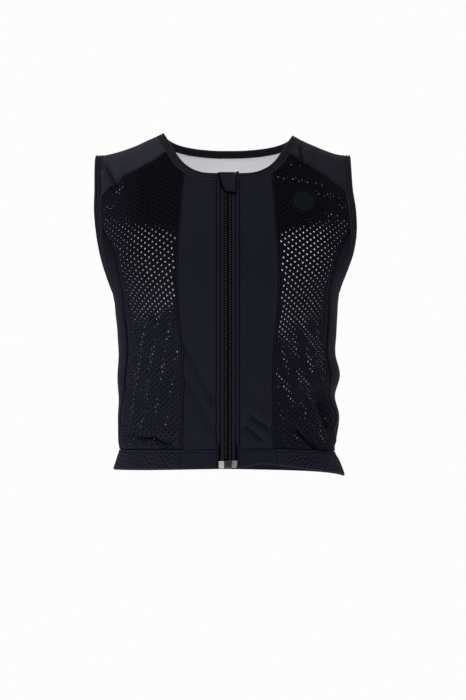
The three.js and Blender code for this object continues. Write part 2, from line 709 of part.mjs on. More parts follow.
// The pieces of one side of the vest
function addSide(side) {
  const name = sideName(side);
  const neck = neckPath(side);
  const arm = armPath(side);

  const seamAcross = (path, step) => basePoint(path.seam(step)).x * side;
  const neckStart = zeroBetween(0, 0.9, (step) => seamAcross(neck, step) - zipHalfWidth);
  const neckPrincess = zeroBetween(neckStart, 0.95, (step) => {
    const spot = neck.seam(step);
    return spot.angle - princessSpot(side, spot.level).angle;
  });
  const aboveYoke = (path, step) => {
    const point = basePoint(path.seam(step));
    const front = path.seam(step).front;
    const share = Math.abs(point.x) / (shoulderHalfWidth * shoulderShare[name]);
    const table = front ? yokeSeamFront : yokeSeamBack;
    return point.z + armholeHeight * follow(table, 'across', 'drop', share);
  };
  const neckYokeFront = zeroBetween(neckPrincess, 1, (step) => aboveYoke(neck, step));
  const neckYokeBack = zeroBetween(1.02, 1.95, (step) => aboveYoke(neck, step));
  const armYokeFront = zeroBetween(0.3, 1, (step) => aboveYoke(arm, step));
  const armYokeBack = zeroBetween(1, 1.7, (step) => aboveYoke(arm, step));
  const besideSeam = (table) => (step) => {
    const spot = arm.seam(step);
    const point = basePoint(spot);
    return localShare(spot, point) - follow(table, 'rise', 'across', riseShare(point.z));
  };
  const armSideFront = zeroBetween(0.05, armYokeFront, besideSeam(sideSeamFront));
  const armSideBack = zeroBetween(armYokeBack, 1.95, besideSeam(sideSeamBack));

  // Seams shared by neighbouring panels, from the hem upwards
  const rowsUp = (top, make) => evenly(bodyRows, (share) => make(mix(hemLevel, top, share)));
  const zipSeam = rowsUp(neck.seam(neckStart).level, (level) => besideZip({ front: true, side, level }));
  const princess = rowsUp(neck.seam(neckPrincess).level, (level) => princessSpot(side, level));
  const sideFrontTop = arm.seam(armSideFront);
  const sideBackTop = arm.seam(armSideBack);
  const sideSeam = (front, table, topSpot) => {
    const run = evenly(rowsBelowArmhole, (share) =>
      seamSpot(front, side, table, mix(hemLevel, topSpot.level, share)),
    );
    return pinned(run, null, topSpot);
  };
  const sideFront = sideSeam(true, sideSeamFront, sideFrontTop);
  const sideBack = sideSeam(false, sideSeamBack, sideBackTop);
  const yokeRun = (front, neckStep, armStep) => {
    const from = basePoint(neck.seam(neckStep)).x * side;
    const to = basePoint(arm.seam(armStep)).x * side;
    const run = evenly(yokeColumns, (share) => yokeSpot(front, side, mix(from, to, share)));
    return pinned(run, neck.seam(neckStep), arm.seam(armStep));
  };
  const yokeFrontSeam = yokeRun(true, neckYokeFront, armYokeFront);
  const yokeBackSeam = yokeRun(false, neckYokeBack, armYokeBack);
  const hemLine = (chart, fromAt, toAt, count) => (level) => {
    const [from] = chart.flatten(fromAt(level));
    const [to] = chart.flatten(toAt(level));
    return evenly(count, (share) => chart.spot([mix(from, to, share), level]));
  };
  const below = (spot) => (level) => ({ ...spot, level });

  // Front panel beside the zip
  const turned = turnChart(side);
  const zipEdge = (level) => besideZip({ front: true, side, level });
  const frontHem = hemLine(turned, zipEdge, below(princess[0]), frontColumns);
  const frontNeck = along(neck, neckStart, neckPrincess, frontColumns);
  const frontTop = pinned(frontNeck, zipSeam[bodyRows], princess[bodyRows]);
  const frontGrid = fillPatch(flatChart(true), frontHem(hemLevel), princess, frontTop, zipSeam);
  addSheet(`front_panel_${name}`, frontGrid, materials.stretchCloth, 0, clothThickness);

  // Mesh panel over the chest and ribs
  const meshSide = join(sideFront, along(arm, armSideFront, armYokeFront, rowsBesideArmhole));
  const meshNeck = along(neck, neckPrincess, neckYokeFront, neckTopColumns);
  const meshTop = join(
    pinned(meshNeck, princess[bodyRows], yokeFrontSeam[0]),
    yokeFrontSeam,
  );
  const meshColumns = neckTopColumns + yokeColumns;
  const meshHem = hemLine(turned, below(princess[0]), below(meshSide[0]), meshColumns);
  const meshEnd = pinned(meshSide, null, yokeFrontSeam[yokeColumns]);
  const meshGrid = fillPatch(flatChart(true), meshHem(hemLevel), meshEnd, meshTop, princess);
  addSheet(`mesh_panel_${name}`, meshGrid, materials.airMesh, 0, meshThickness);

  // Yoke over the shoulder
  const ridge = ridgeChart(side);
  const yokeArm = join(
    along(arm, armYokeFront, 1, yokeRows),
    along(arm, 1, armYokeBack, yokeRows),
  );
  const yokeNeck = join(
    along(neck, neckYokeFront, 1, yokeRows),
    along(neck, 1, neckYokeBack, yokeRows),
  );
  const yokeGrid = fillPatch(ridge, yokeFrontSeam, yokeArm, yokeBackSeam, yokeNeck);
  addSheet(`shoulder_yoke_${name}`, yokeGrid, materials.yokeCloth, 0, clothThickness);

  // Side panel from the hem up to the armhole
  const sideTop = evenly(sideColumns, (share) => {
    const step = mix(armSideBack - 2, armSideFront, share);
    return step < 0 ? arm.seam(2 + step) : arm.seam(step);
  });
  const sideHem = hemLine(ringChart, below(sideBack[0]), below(sideFront[0]), sideColumns);
  const sideGrid = fillPatch(ringChart, sideHem(hemLevel), sideFront, sideTop, sideBack);
  addSheet(`side_panel_${name}`, sideGrid, materials.stretchCloth, 0, clothThickness);

  // Hems under the front and mesh panels
  const hemGrid = (hem) => {
    const lines = evenly(hemRows, (share) => hem(hemLevel * share));
    const ends = lines.map((line) => line[line.length - 1]);
    return fillPatch(turned, lines[0], ends, lines[hemRows], lines.map((line) => line[0]));
  };
  const frontHemGrid = hemGrid(frontHem);
  addSheet(`front_hem_${name}`, frontHemGrid, materials.stretchCloth, 0, hemThickness);
  const meshHemGrid = hemGrid(meshHem);
  addSheet(`mesh_hem_${name}`, meshHemGrid, materials.airMesh, 0, hemThickness);

  // Binding round the armhole, in the same steps as the panels that it edges
  const armSteps = [
    ...evenly(sideColumns, (share) => mix(armSideBack - 2, armSideFront, share)).slice(1),
    ...evenly(rowsBesideArmhole, (share) => mix(armSideFront, armYokeFront, share)).slice(1),
    ...evenly(yokeRows, (share) => mix(armYokeFront, 1, share)).slice(1),
    ...evenly(yokeRows, (share) => mix(1, armYokeBack, share)).slice(1),
    ...evenly(rowsBesideArmhole, (share) => mix(armYokeBack, armSideBack, share)).slice(1),
  ].map((step) => (step < 0 ? step + 2 : step));
  const armRings = armSteps.map((step) => bindingRing(arm, step));
  const armBand = sweptGeometry(bindingSection, armRings, true);
  addPiece(`armhole_binding_${name}`, armBand, materials.bindingTape);

  return { neck, arm, neckStart, neckPrincess, neckYokeFront, neckYokeBack, armYokeBack, armSideBack,
    yokeBackSeam, sideBack, meshHemEdge: meshSide[0] };
}


const leftSide = addSide(left);
const rightSide = addSide(right);

// Back panel with its foam pad
function padLift(spot) {
  const point = basePoint(spot);
  const top = -padTopDrop;
  const bottom = hemHeight + padHemClearance;
  const halfHeight = (top - bottom) / 2;
  const acrossShare = Math.abs(point.x) / padHalfWidth;
  const heightShare = Math.abs(point.z - bottom - halfHeight) / halfHeight;
  const reach = (acrossShare ** padSquareness + heightShare ** padSquareness) ** (1 / padSquareness);
  const rounded = THREE.MathUtils.smoothstep((1 - reach) * padHalfWidth, 0, padSlope);
  return clothThickness + padThickness * rounded;
}

function addBack() {
  const run = (part) =>
    join(part.sideBack, along(part.arm, part.armSideBack, part.armYokeBack, rowsBesideArmhole));
  const neckRun = (part) => along(part.neck, part.neckYokeBack, 2, backNeckColumns);
  const top = join(
    join([...rightSide.yokeBackSeam].reverse(), neckRun(rightSide)),
    join([...neckRun(leftSide)].reverse(), leftSide.yokeBackSeam),
  );
  const leftRun = run(leftSide);
  const rightRun = run(rightSide);
  const [from] = ringChart.flatten(rightRun[0]);
  const [to] = ringChart.flatten(leftRun[0]);
  const bottom = evenly(top.length - 1, (share) => ringChart.spot([mix(from, to, share), hemLevel]));
  const grid = fillPatch(flatChart(false), bottom, leftRun, top, rightRun);
  addSheet('back_panel', grid, materials.stretchCloth, 0, padLift);

  // Hem round the sides and the back
  const [hemFrom] = ringChart.flatten(rightSide.meshHemEdge);
  const [hemTo] = ringChart.flatten(leftSide.meshHemEdge);
  const hemLine = (level) =>
    evenly(backHemColumns, (share) => ringChart.spot([mix(hemFrom, hemTo, share), level]));
  const climbTo = (turn) => evenly(hemRows, (share) => ringChart.spot([turn, mix(0, hemLevel, share)]));
  const hemGrid = fillPatch(ringChart, hemLine(0), climbTo(hemTo), hemLine(hemLevel), climbTo(hemFrom));
  addSheet('back_hem', hemGrid, materials.stretchCloth, 0, hemThickness);
}

addBack();

// Binding round the neck, from one side of the zip round the back to the other
function addNeckBinding() {
  const stepsOf = (part) => [
    ...evenly(frontColumns, (share) => mix(part.neckStart, part.neckPrincess, share)),
    ...evenly(neckTopColumns, (share) => mix(part.neckPrincess, part.neckYokeFront, share)).slice(1),
    ...evenly(yokeRows, (share) => mix(part.neckYokeFront, 1, share)).slice(1),
    ...evenly(yokeRows, (share) => mix(1, part.neckYokeBack, share)).slice(1),
    ...evenly(backNeckColumns, (share) => mix(part.neckYokeBack, 2, share)).slice(1),
  ];
  const ringsOf = (part) => [
    bindingRing(part.neck, part.neckStart, besideZip),
    ...stepsOf(part).slice(1).map((step) => bindingRing(part.neck, step)),
  ];
  const rings = [...ringsOf(leftSide), ...ringsOf(rightSide).reverse().slice(1)];
  addPiece('neck_binding', sweptGeometry(bindingSection, rings, false), materials.bindingTape);
}

addNeckBinding();

// The zip. Its pieces are laid out by distance across from the middle line and height.
const zipSpot = (across, height) => {
  const side = across < 0 ? right : left;
  return spotAt(true, side, Math.abs(across), height);
};
const zipBottom = hemHeight;
const zipTop = neckEdgeMiddle - zipTopMargin;
const boxTop = zipBottom + boxHeight;
const sliderBottom = zipTop - garageHeight + sliderCover;
const sliderTop = sliderBottom + sliderHeight;

function zipStrip(innerAt, outerAt, bottom, top, rows) {
  return evenly(rows, (share) => {
    const height = mix(bottom, top, share);
    return [zipSpot(innerAt(height), height), zipSpot(outerAt(height), height)];
  });
}

function addZipSide(side) {
  const name = sideName(side);
  const tapeInner = () => side * (chainHalfWidth + stackGap);
  const tapeOuter = () => side * (weltInner - stackGap);
  const tape = zipStrip(tapeInner, tapeOuter, zipBottom, zipTop, zipRows);
  addSheet(`zip_tape_${name}`, tape, materials.zipTape, stackGap, stackGap + tapeThickness);

  const tabInner = chainHalfWidth + stackGap;
  const tabOuter = tabInner + endTabWidth;
  const tabTop = zipBottom + endTabMargin + endTabHeight;
  const weltInside = (height) => {
    const opening = THREE.MathUtils.smoothstep(tabTop + 2 * weltOpening - height, 0, weltOpening);
    return side * mix(weltInner, tabOuter + stackGap, opening);
  };
  const welt = zipStrip(weltInside, () => side * (zipHalfWidth - stackGap), zipBottom, zipTop, zipRows);
  addSheet(`zip_welt_${name}`, welt, materials.stretchCloth, 0, weltThickness);

  const tabLift = stackGap * 2 + tapeThickness;
  const tab = zipStrip(() => side * tabInner, () => side * tabOuter, zipBottom + endTabMargin, tabTop, 2);
  addSheet(`zip_end_tab_${name}`, tab, materials.zipFilm, tabLift, tabLift + endTabThickness);
}

addZipSide(left);
addZipSide(right);

function zipSweep(section, bottom, top, rows) {
  const rings = evenly(rows, (share) => {
    const height = mix(bottom, top, share);
    return section.map(([across, lift]) => place(zipSpot(across, height), lift));
  });
  return sweptGeometry(section, rings, false);
}

function addZipMiddle() {
  const shoulder = chainThickness / 2;
  const crest = chainHalfWidth / 2;
  const chain = [
    [-chainHalfWidth, stackGap],
    [chainHalfWidth, stackGap],
    [chainHalfWidth, shoulder],
    [crest, chainThickness],
    [0, chainValley],
    [-crest, chainThickness],
    [-chainHalfWidth, shoulder],
  ];
  const chainSweep = zipSweep(chain, boxTop + stackGap, sliderBottom - stackGap, zipRows);
  addPiece('zip_chain', chainSweep, materials.zipChain);

  const boxHalf = chainHalfWidth;
  const box = [
    [-boxHalf, stackGap],
    [boxHalf, stackGap],
    [boxHalf, boxThickness - boxBevel],
    [boxHalf - boxBevel, boxThickness],
    [boxBevel - boxHalf, boxThickness],
    [-boxHalf, boxThickness - boxBevel],
  ];
  addPiece('zip_box', zipSweep(box, zipBottom + endTabMargin, boxTop, fittingRows), materials.zipMetal);

  const sliderLow = stackGap * 2 + tapeThickness;
  const sliderHigh = sliderLow + sliderThickness;
  const stem = chainHalfWidth;
  const slider = [
    [-stem, stackGap],
    [stem, stackGap],
    [stem, sliderLow],
    [sliderHalfWidth, sliderLow],
    [sliderHalfWidth, sliderHigh],
    [-sliderHalfWidth, sliderHigh],
    [-sliderHalfWidth, sliderLow],
    [-stem, sliderLow],
  ];
  addPiece('zip_slider', zipSweep(slider, sliderBottom, sliderTop, fittingRows), materials.zipMetal);
}

addZipMiddle();

// Cloth flap folded over the top of the zip
function addGarage() {
  const rightEdge = weltInner - stackGap;
  const leftEdge = -zipHalfWidth + stackGap;
  const bottom = zipTop - garageHeight;
  const grid = evenly(garageCells, (v) => {
    const height = mix(bottom, zipTop, v);
    const from = leftEdge * mix(garageLowShare, 1, Math.sqrt(v));
    const tilt = (1 - v) * garageTilt;
    return evenly(garageCells, (u) => zipSpot(mix(from, rightEdge, u), height + (1 - u) * tilt));
  });
  const over = stackGap * 3 + tapeThickness + sliderThickness;
  const lift = (spot) => {
    const height = basePoint(spot).z;
    const down = THREE.MathUtils.smoothstep(height, zipTop - garageRoll, zipTop);
    return mix(over, weltThickness + stackGap, down);
  };
  addSheet('zip_garage', grid, materials.stretchCloth, lift, (spot) => lift(spot) + garageThickness);
}

addGarage();

// Round badge on the left of the chest: a thin rim with a plain raised face
function addBadge() {
  const profile = [
    { radius: badgeRadius, lift: badgeRimThickness },
    { radius: badgeFaceRadius + badgeStepWidth, lift: badgeRimThickness },
    { radius: badgeFaceRadius, lift: badgeFaceThickness },
  ];
  const foot = meshThickness + stackGap;
  const spot = (radius, turn) => {
    const across = badgeCentreAcross + radius * Math.cos(turn);
    return spotAt(true, left, across, radius * Math.sin(turn) - badgeCentreDrop);
  };
  const points = [place(spot(0, 0), foot), place(spot(0, 0), foot + badgeFaceThickness)];
  const rings = [
    { radius: badgeFaceRadius, lift: 0 },
    { radius: badgeRadius, lift: 0 },
    ...profile,
  ];
  rings.forEach(({ radius, lift }) => {
    for (let i = 0; i < badgeSegments; i += 1) {
      points.push(place(spot(radius, (i / badgeSegments) * 2 * Math.PI), foot + lift));
    }
  });
  const triangles = [];
  const at = (ring, i) => 2 + ring * badgeSegments + (i % badgeSegments);
  const last = rings.length - 1;
  for (let i = 0; i < badgeSegments; i += 1) {
    triangles.push([0, at(0, i + 1), at(0, i)], [1, at(last, i), at(last, i + 1)]);
    for (let ring = 0; ring < last; ring += 1) {
      const [a, b, c, d] = [at(ring, i), at(ring, i + 1), at(ring + 1, i + 1), at(ring + 1, i)];
      triangles.push([a, b, c], [a, c, d]);
    }
  }
  addPiece('chest_badge', facingOut(points, triangles), materials.badgeRubber);
}

addBadge();

export default vest;
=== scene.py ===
import math

import bpy
import numpy as np
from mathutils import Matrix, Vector, geometry


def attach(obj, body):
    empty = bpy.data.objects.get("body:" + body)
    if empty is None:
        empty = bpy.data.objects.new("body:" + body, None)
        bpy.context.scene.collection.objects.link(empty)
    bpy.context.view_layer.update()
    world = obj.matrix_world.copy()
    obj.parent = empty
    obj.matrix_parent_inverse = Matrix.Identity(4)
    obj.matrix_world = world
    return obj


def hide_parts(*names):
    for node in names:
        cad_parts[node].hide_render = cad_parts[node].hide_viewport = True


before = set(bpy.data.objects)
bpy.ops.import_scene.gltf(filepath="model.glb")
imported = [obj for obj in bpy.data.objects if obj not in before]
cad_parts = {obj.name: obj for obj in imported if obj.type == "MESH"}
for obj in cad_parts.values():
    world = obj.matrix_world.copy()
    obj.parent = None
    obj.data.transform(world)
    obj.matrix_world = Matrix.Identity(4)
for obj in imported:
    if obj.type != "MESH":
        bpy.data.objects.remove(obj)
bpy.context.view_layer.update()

# An equestrian body protector with a full-length front zip, worn shape. Lengths are in
# millimetres until a mesh is made. +X is the wearer's left, -Y the front, +Z up. The origin is
# midway between the shoulders at the height where the vest rests on them.

# Size and shape of the worn vest, as in the solids
body_length = 450
shoulder_tip_drop = 14
armhole_height = 191
armhole_front_reach = 47
armhole_back_reach = 50
shoulder_half_width = 180
side_half_width = 154.6
front_depth = 125
back_depth = 107
neck_half_width = 89
neck_rise = 17
front_neck_drop = 55
back_neck_drop = 20
front_fullness = 0.8
back_fullness = 0.72

# Cloth, bindings and hems
cloth_thickness = 2.4
mesh_thickness = 2.2
hem_thickness = 3
hem_band_height = 27
binding_width = 12
tuck = 1.6
seam_overlap = 1.2
stack_gap = 0.3
pad_thickness = 12
pad_half_width = 112
pad_top_drop = 40
pad_hem_clearance = 42
pad_slope = 30
pad_squareness = 4
fold_reach = 9
fold_height = 4

# Zip
chain_half_width = 4.6
tape_thickness = 1.2
tape_visible_width = 5.6
welt_width = 4.6
welt_thickness = 3.4
welt_overlap = 2.2
garage_turn = 2.8
garage_turn_depth = 1.0
box_height = 12
box_thickness = 3.9
end_tab_width = 8
end_tab_height = 10
end_tab_margin = 0.8
end_tab_thickness = 1
welt_opening = 16
slider_thickness = 3.1
slider_cover = 8
garage_height = 30
garage_thickness = 2
garage_low_share = 0.2
garage_tilt = 3
garage_roll = 6
zip_top_margin = 0.6
tooth_pitch = 3.4
tooth_radius = 0.66
tooth_sides = 8

# Badge
badge_face_radius = 13
badge_centre_across = 105
badge_centre_drop = 78
badge_segments = 96

# Perforated mesh
hole_column_pitch = 4.2
hole_row_pitch = 7.0
hole_half_width = 0.96
hole_half_height = 1.28
hole_lean = 0.12
hole_sides = 10
slit_half_width = 0.95
slit_half_height = 2.2
slit_depth = 1.3
slit_grid = 0.7
slit_row_pitch = 6.6
inner_hole_share = 1.08
hole_margin = 3.8
rim_dip_reach = 2.1
rim_dip = 0.5
rim_thinning = 0.6
seam_shadow = 1.4
chest_stretch = 0.36
chest_height = 285
chest_reach = 70
chest_rise = 18

hem_height = -body_length
tip_height = -shoulder_tip_drop
armpit_height = tip_height - armhole_height
side_height = armpit_height - hem_height
hem_level = hem_band_height / side_height
quarter_turn = math.pi / 2
small = 1e-3
left = 1
right = -1
sides = {left: "left", right: "right"}


def mix(a, b, share):
    return a + (b - a) * share


def smooth_step(low, high, value):
    share = np.clip((value - low) / (high - low), 0, 1)
    return share * share * (3 - 2 * share)


def unit(vectors):
    return vectors / np.maximum(np.linalg.norm(vectors, axis=-1, keepdims=True), 1e-12)


def dot(a, b):
    return (a * b).sum(-1)


def run_along(points):
    """How far along a line each of its points lies."""
    return np.concatenate([[0], np.cumsum(np.linalg.norm(np.diff(points, axis=0), axis=-1))])


def even(count):
    return np.linspace(0, 1, count)


class Outline:
    """A smooth curve through a table's places."""

    def __init__(self, keys, values):
        self.keys = np.array(keys, float)
        self.values = np.array(values, float)
        place = np.arange(len(keys))
        low = np.maximum(place - 1, 0)
        high = np.minimum(place + 1, len(keys) - 1)
        self.slopes = (self.values[high] - self.values[low]) / (self.keys[high] - self.keys[low])

    def __call__(self, at):
        place = np.clip(at, self.keys[0], self.keys[-1])
        i = np.clip(np.searchsorted(self.keys, place) - 1, 0, len(self.keys) - 2)
        span = self.keys[i + 1] - self.keys[i]
        t = (place - self.keys[i]) / span
        t2 = t * t
        t3 = t2 * t
        return (
            (2 * t3 - 3 * t2 + 1) * self.values[i]
            + (t3 - 2 * t2 + t) * span * self.slopes[i]
            + (3 * t2 - 2 * t3) * self.values[i + 1]
            + (t3 - t2) * span * self.slopes[i + 1]
        )


def outlines(table):
    keys, *columns = zip(*table)
    return [Outline(keys, column) for column in columns]


# Side outline from hem (0) to armpit (1): level, wearer's right, wearer's left
side_right, side_left = outlines([
    (0, 1.025, 1.045),
    (0.06, 0.994, 1.0),
    (0.105, 0.972, 0.955),
    (0.17, 0.984, 0.965),
    (0.3, 0.984, 0.995),
    (0.41, 0.98, 0.955),
    (0.53, 0.99, 1.0),
    (0.65, 0.98, 0.965),
    (0.78, 0.987, 0.97),
    (0.9, 1.006, 0.98),
    (1, 1.025, 0.987),
])

# Armhole outline from armpit (1) to ridge (2): level, wearer's right, wearer's left
armhole_right, armhole_left = outlines([
    (1, 0, 0),
    (1.05, 0.21, 0.2),
    (1.117, 0.46, 0.51),
    (1.193, 0.68, 0.81),
    (1.294, 0.875, 1),
    (1.411, 1, 1),
    (1.549, 1, 0.85),
    (1.737, 1.01, 0.78),
    (2, 0.98, 0.74),
])
shoulder_share = {right: 1.038, left: 0.992}

# How far the middle stands from the shoulder ridge: level, front, back
depth_front, depth_back = outlines([
    (0, 0.905, 0.9),
    (0.105, 0.89, 0.87),
    (0.3, 0.9, 0.84),
    (0.5, 0.92, 0.83),
    (0.7, 0.955, 0.87),
    (0.86, 0.985, 0.92),
    (1, 1, 0.965),
    (1.105, 0.965, 0.99),
    (1.226, 0.856, 1),
    (1.342, 0.712, 0.975),
    (1.479, 0.528, 0.88),
    (1.61, 0.384, 0.74),
    (1.744, 0.248, 0.54),
    (1.893, 0.104, 0.25),
    (2, 0, 0),
])

# Neck edge from the middle front to the shoulder, and on to the middle back: step, across, drop
neck_front_across, neck_front_drop = outlines([
    (0, 0, 1),
    (0.125, 0.2, 0.995),
    (0.25, 0.39, 0.975),
    (0.375, 0.56, 0.88),
    (0.5, 0.7, 0.715),
    (0.625, 0.805, 0.5),
    (0.75, 0.89, 0.28),
    (0.875, 0.955, 0.11),
    (1, 1, 0),
])
neck_back_across, neck_back_drop = outlines([
    (0, 1, 0),
    (0.2, 0.93, 0.36),
    (0.4, 0.76, 0.68),
    (0.6, 0.52, 0.88),
    (0.8, 0.26, 0.98),
    (0.9, 0.13, 1),
    (1, 0, 1),
])

# Seams: share of body_length above the hem, share across
(princess_seam,) = outlines([
    (0, 0.422),
    (0.144, 0.407),
    (0.282, 0.405),
    (0.38, 0.414),
    (0.484, 0.444),
    (0.589, 0.457),
    (0.658, 0.452),
    (0.738, 0.438),
    (0.82, 0.42),
    (0.904, 0.401),
    (1, 0.38),
])
(side_seam_front,) = outlines([
    (0, 0.99),
    (0.06, 0.99),
    (0.173, 0.972),
    (0.26, 0.935),
    (0.338, 0.912),
    (0.431, 0.912),
    (0.509, 0.917),
    (0.587, 0.9),
    (0.664, 0.885),
    (0.73, 0.94),
    (0.78, 0.985),
])
(side_seam_back,) = outlines([
    (0, 0.93),
    (0.3, 0.9),
    (0.6, 0.885),
    (0.72, 0.93),
    (0.8, 0.985),
])

# Yoke seams: share of the shoulder's half width, drop as a share of armhole_height
(yoke_seam_front,) = outlines([
    (0.4, 0.01),
    (0.49, 0.057),
    (0.55, 0.097),
    (0.62, 0.133),
    (0.69, 0.173),
    (0.755, 0.206),
    (0.81, 0.251),
    (0.86, 0.283),
    (0.9, 0.314),
    (0.94, 0.366),
    (1, 0.45),
])
(yoke_seam_back,) = outlines([
    (0.3, -0.04),
    (0.45, 0.05),
    (0.6, 0.13),
    (0.8, 0.235),
    (1, 0.36),
])

# How far the hem hangs below its mean line, going round in degrees from the back right side
(hem_wave,) = outlines([
    (-180, 0.1),
    (-135, 0.15),
    (-90, 0.08),
    (-60, 0.03),
    (-30, 0),
    (-8, -0.02),
    (0, -0.05),
    (8, -0.12),
    (16, -0.26),
    (25, -0.21),
    (37, -0.06),
    (50, 0.08),
    (65, 0.22),
    (80, 0.31),
    (90, 0.4),
    (135, 0.2),
    (180, 0.1),
])
hem_wave_reach = 0.25

# Folds in the front: across, rise, end across, end rise, spread, lift (negative for a crease).
# The first nine are in the solids as well, the others are too fine for them.
folds = [
    (-0.86, 0.103, -0.5, 0.083, 0.75, -1),
    (-0.84, 0.128, -0.52, 0.112, 1, 0.7),
    (0.6, 0.125, 0.84, 0.06, 0.75, -1),
    (0.66, 0.145, 0.9, 0.085, 1, 0.8),
    (0.8, 0.235, 0.93, 0.125, 1, -1.3),
    (0.2, 0.165, 0.4, 0.118, 0.7, -0.5),
    (0.16, 0.13, 0.28, 0.095, 0.7, -0.45),
    (-0.36, 0.37, -0.13, 0.22, 1, -0.4),
    (-0.34, 0.25, -0.17, 0.12, 0.9, -0.4),
    (0.17, 0.2, 0.39, 0.15, 0.45, 0.3),
    (0.15, 0.105, 0.3, 0.08, 0.4, 0.25),
    (-0.33, 0.33, -0.16, 0.24, 0.5, 0.22),
    (-0.31, 0.215, -0.16, 0.13, 0.5, 0.22),
    (0.19, 0.245, 0.36, 0.19, 0.5, -0.2),
    (-0.7, 0.16, -0.45, 0.135, 0.6, -0.25),
    (0.55, 0.19, 0.78, 0.13, 0.6, -0.3),
    (0.85, 0.32, 0.97, 0.24, 0.8, -0.5),
    (-0.92, 0.26, -0.74, 0.2, 0.7, -0.3),
    (0.45, 0.43, 0.62, 0.36, 0.9, -0.18),
    (-0.6, 0.47, -0.47, 0.38, 0.9, -0.18),
    (-0.786, 0.0935, -0.67, 0.096, 0.34, -1.3),
    (-0.67, 0.096, -0.552, 0.0713, 0.34, -1.5),
    (-0.76, 0.081, -0.62, 0.077, 0.4, 0.45),
    (-0.96, 0.138, -0.8, 0.126, 0.26, -0.45),
    (-0.95, 0.108, -0.82, 0.1, 0.26, -0.45),
    (-0.93, 0.085, -0.74, 0.071, 0.26, -0.4),
    (-0.62, 0.086, -0.5, 0.072, 0.26, -0.4),
    (0.625, 0.117, 0.798, 0.061, 0.36, -1.6),
    (0.66, 0.127, 0.83, 0.071, 0.35, 0.4),
    (0.84, 0.205, 0.925, 0.125, 0.6, -2.2),
    (0.62, 0.178, 0.71, 0.15, 0.3, -0.4),
    (0.88, 0.1, 0.97, 0.072, 0.3, -0.4),
    (0.217, 0.159, 0.365, 0.126, 0.4, -0.8),
    (0.166, 0.132, 0.287, 0.091, 0.4, -0.8),
    (-0.398, 0.385, -0.13, 0.21, 0.7, -0.9),
    (-0.361, 0.269, -0.14, 0.13, 0.7, -0.9),
    (-1.096, 0.935, -1.014, 0.879, 0.45, -1.6),
    (-1.12, 0.912, -1.06, 0.87, 0.45, 1.0),
    (-0.98, 0.925, -0.94, 0.9, 0.5, 0.8),
    (0.652, 1.0, 0.674, 0.955, 0.4, -1.3),
    (0.705, 0.985, 0.72, 0.945, 0.38, 0.9),
    (0.6, 0.975, 0.62, 0.95, 0.35, 0.7),
]


def zero_between(low, high, f, rounds=36):
    """Where a function that changes sign between low and high is zero, for arrays as well."""
    low = np.array(low, float)
    high = np.array(high, float)
    starts_positive = f(low) > 0
    for _ in range(rounds):
        middle = (low + high) / 2
        same = (f(middle) > 0) == starts_positive
        low = np.where(same, middle, low)
        high = np.where(same, high, middle)
    return (low + high) / 2


def crossing(low, high, f, samples=600):
    """The first place between low and high where a function changes sign."""
    steps = np.linspace(low, high, samples)
    values = f(steps)
    i = int(np.argmax((values[:-1] > 0) != (values[1:] > 0)))
    return float(mix(steps[i], steps[i + 1], values[i] / (values[i] - values[i + 1])))


class Spots:
    """Places on the worn surface: front or back, side, angle from the middle line, and level."""

    def __init__(self, front, side, angle, level):
        front, side, angle, level = np.broadcast_arrays(front, side, angle, level)
        self.front = front.astype(bool)
        self.side = side.astype(float)
        self.angle = angle.astype(float)
        self.level = level.astype(float)

    def but(self, **changes):
        values = {"front": self.front, "side": self.side, "angle": self.angle, "level": self.level}
        values.update(changes)
        return Spots(**values)


def join_spots(parts):
    return Spots(*[
        np.concatenate([np.atleast_1d(getattr(part, name)) for part in parts])
        for name in ("front", "side", "angle", "level")
    ])


def ridge_fall(share):
    return 1 - (1 - share * share) ** 2


neck_fall = ridge_fall(neck_half_width / shoulder_half_width)
middle_top_height = (neck_rise - tip_height * neck_fall) / (1 - neck_fall)


def climb(level):
    return np.sin((np.minimum(level, 2) - 1) * quarter_turn)


def height_up(level, top):
    low = hem_height + side_height * level
    return np.where(level <= 1, low, armpit_height + (top - armpit_height) * climb(level))


def edge_height(level):
    return height_up(level, tip_height)


def edge_half_width(side, level):
    is_left = np.asarray(side) > 0
    low_level = np.minimum(level, 1)
    low = side_half_width * np.where(is_left, side_left(low_level), side_right(low_level))
    tip = shoulder_half_width * np.where(is_left, shoulder_share[left], shoulder_share[right])
    share = np.where(is_left, armhole_left(level), armhole_right(level))
    return np.where(level <= 1, low, mix(low, tip, share))


def middle_depth(front, level):
    return np.where(front, front_depth * depth_front(level), back_depth * depth_back(level))


def edge_angle(front, level):
    near = np.clip(level, 1, 2 - small)
    rise = climb(near)
    reach = np.where(front, armhole_front_reach, armhole_back_reach)
    reach = reach * np.sqrt(np.maximum(0, 4 * rise * (1 - rise)))
    fullness = np.where(front, front_fullness, back_fullness)
    share = np.clip(reach / middle_depth(front, near), 0, 0.97)
    return np.where(level <= 1, quarter_turn, np.arccos(share ** (1 / fullness)))


def sheet_half_width(front, side, level):
    return edge_half_width(side, level) / np.sin(edge_angle(front, level))


def angle_at(front, side, level, across):
    return np.arcsin(np.clip(across / sheet_half_width(front, side, level), -1, 1))


def height_at(side, level, across):
    share = np.minimum(1, np.abs(across) / edge_half_width(side, level))
    return mix(height_up(level, middle_top_height), edge_height(level), ridge_fall(share))


def spot_at(front, side, across, height):
    front, side, across, height = np.broadcast_arrays(front, side, across, height)
    low = np.zeros(across.shape)
    level = zero_between(low, low + 2, lambda tried: height_at(side, tried, across) - height)
    return Spots(front, side, angle_at(front, side, level, across), level)


def base_point(spots):
    across = sheet_half_width(spots.front, spots.side, spots.level) * np.sin(spots.angle)
    fullness = np.where(spots.front, front_fullness, back_fullness)
    depth = middle_depth(spots.front, spots.level) * np.maximum(0, np.cos(spots.angle)) ** fullness
    height = height_at(spots.side, spots.level, across)
    return np.stack([spots.side * across, np.where(spots.front, -depth, depth), height], -1)


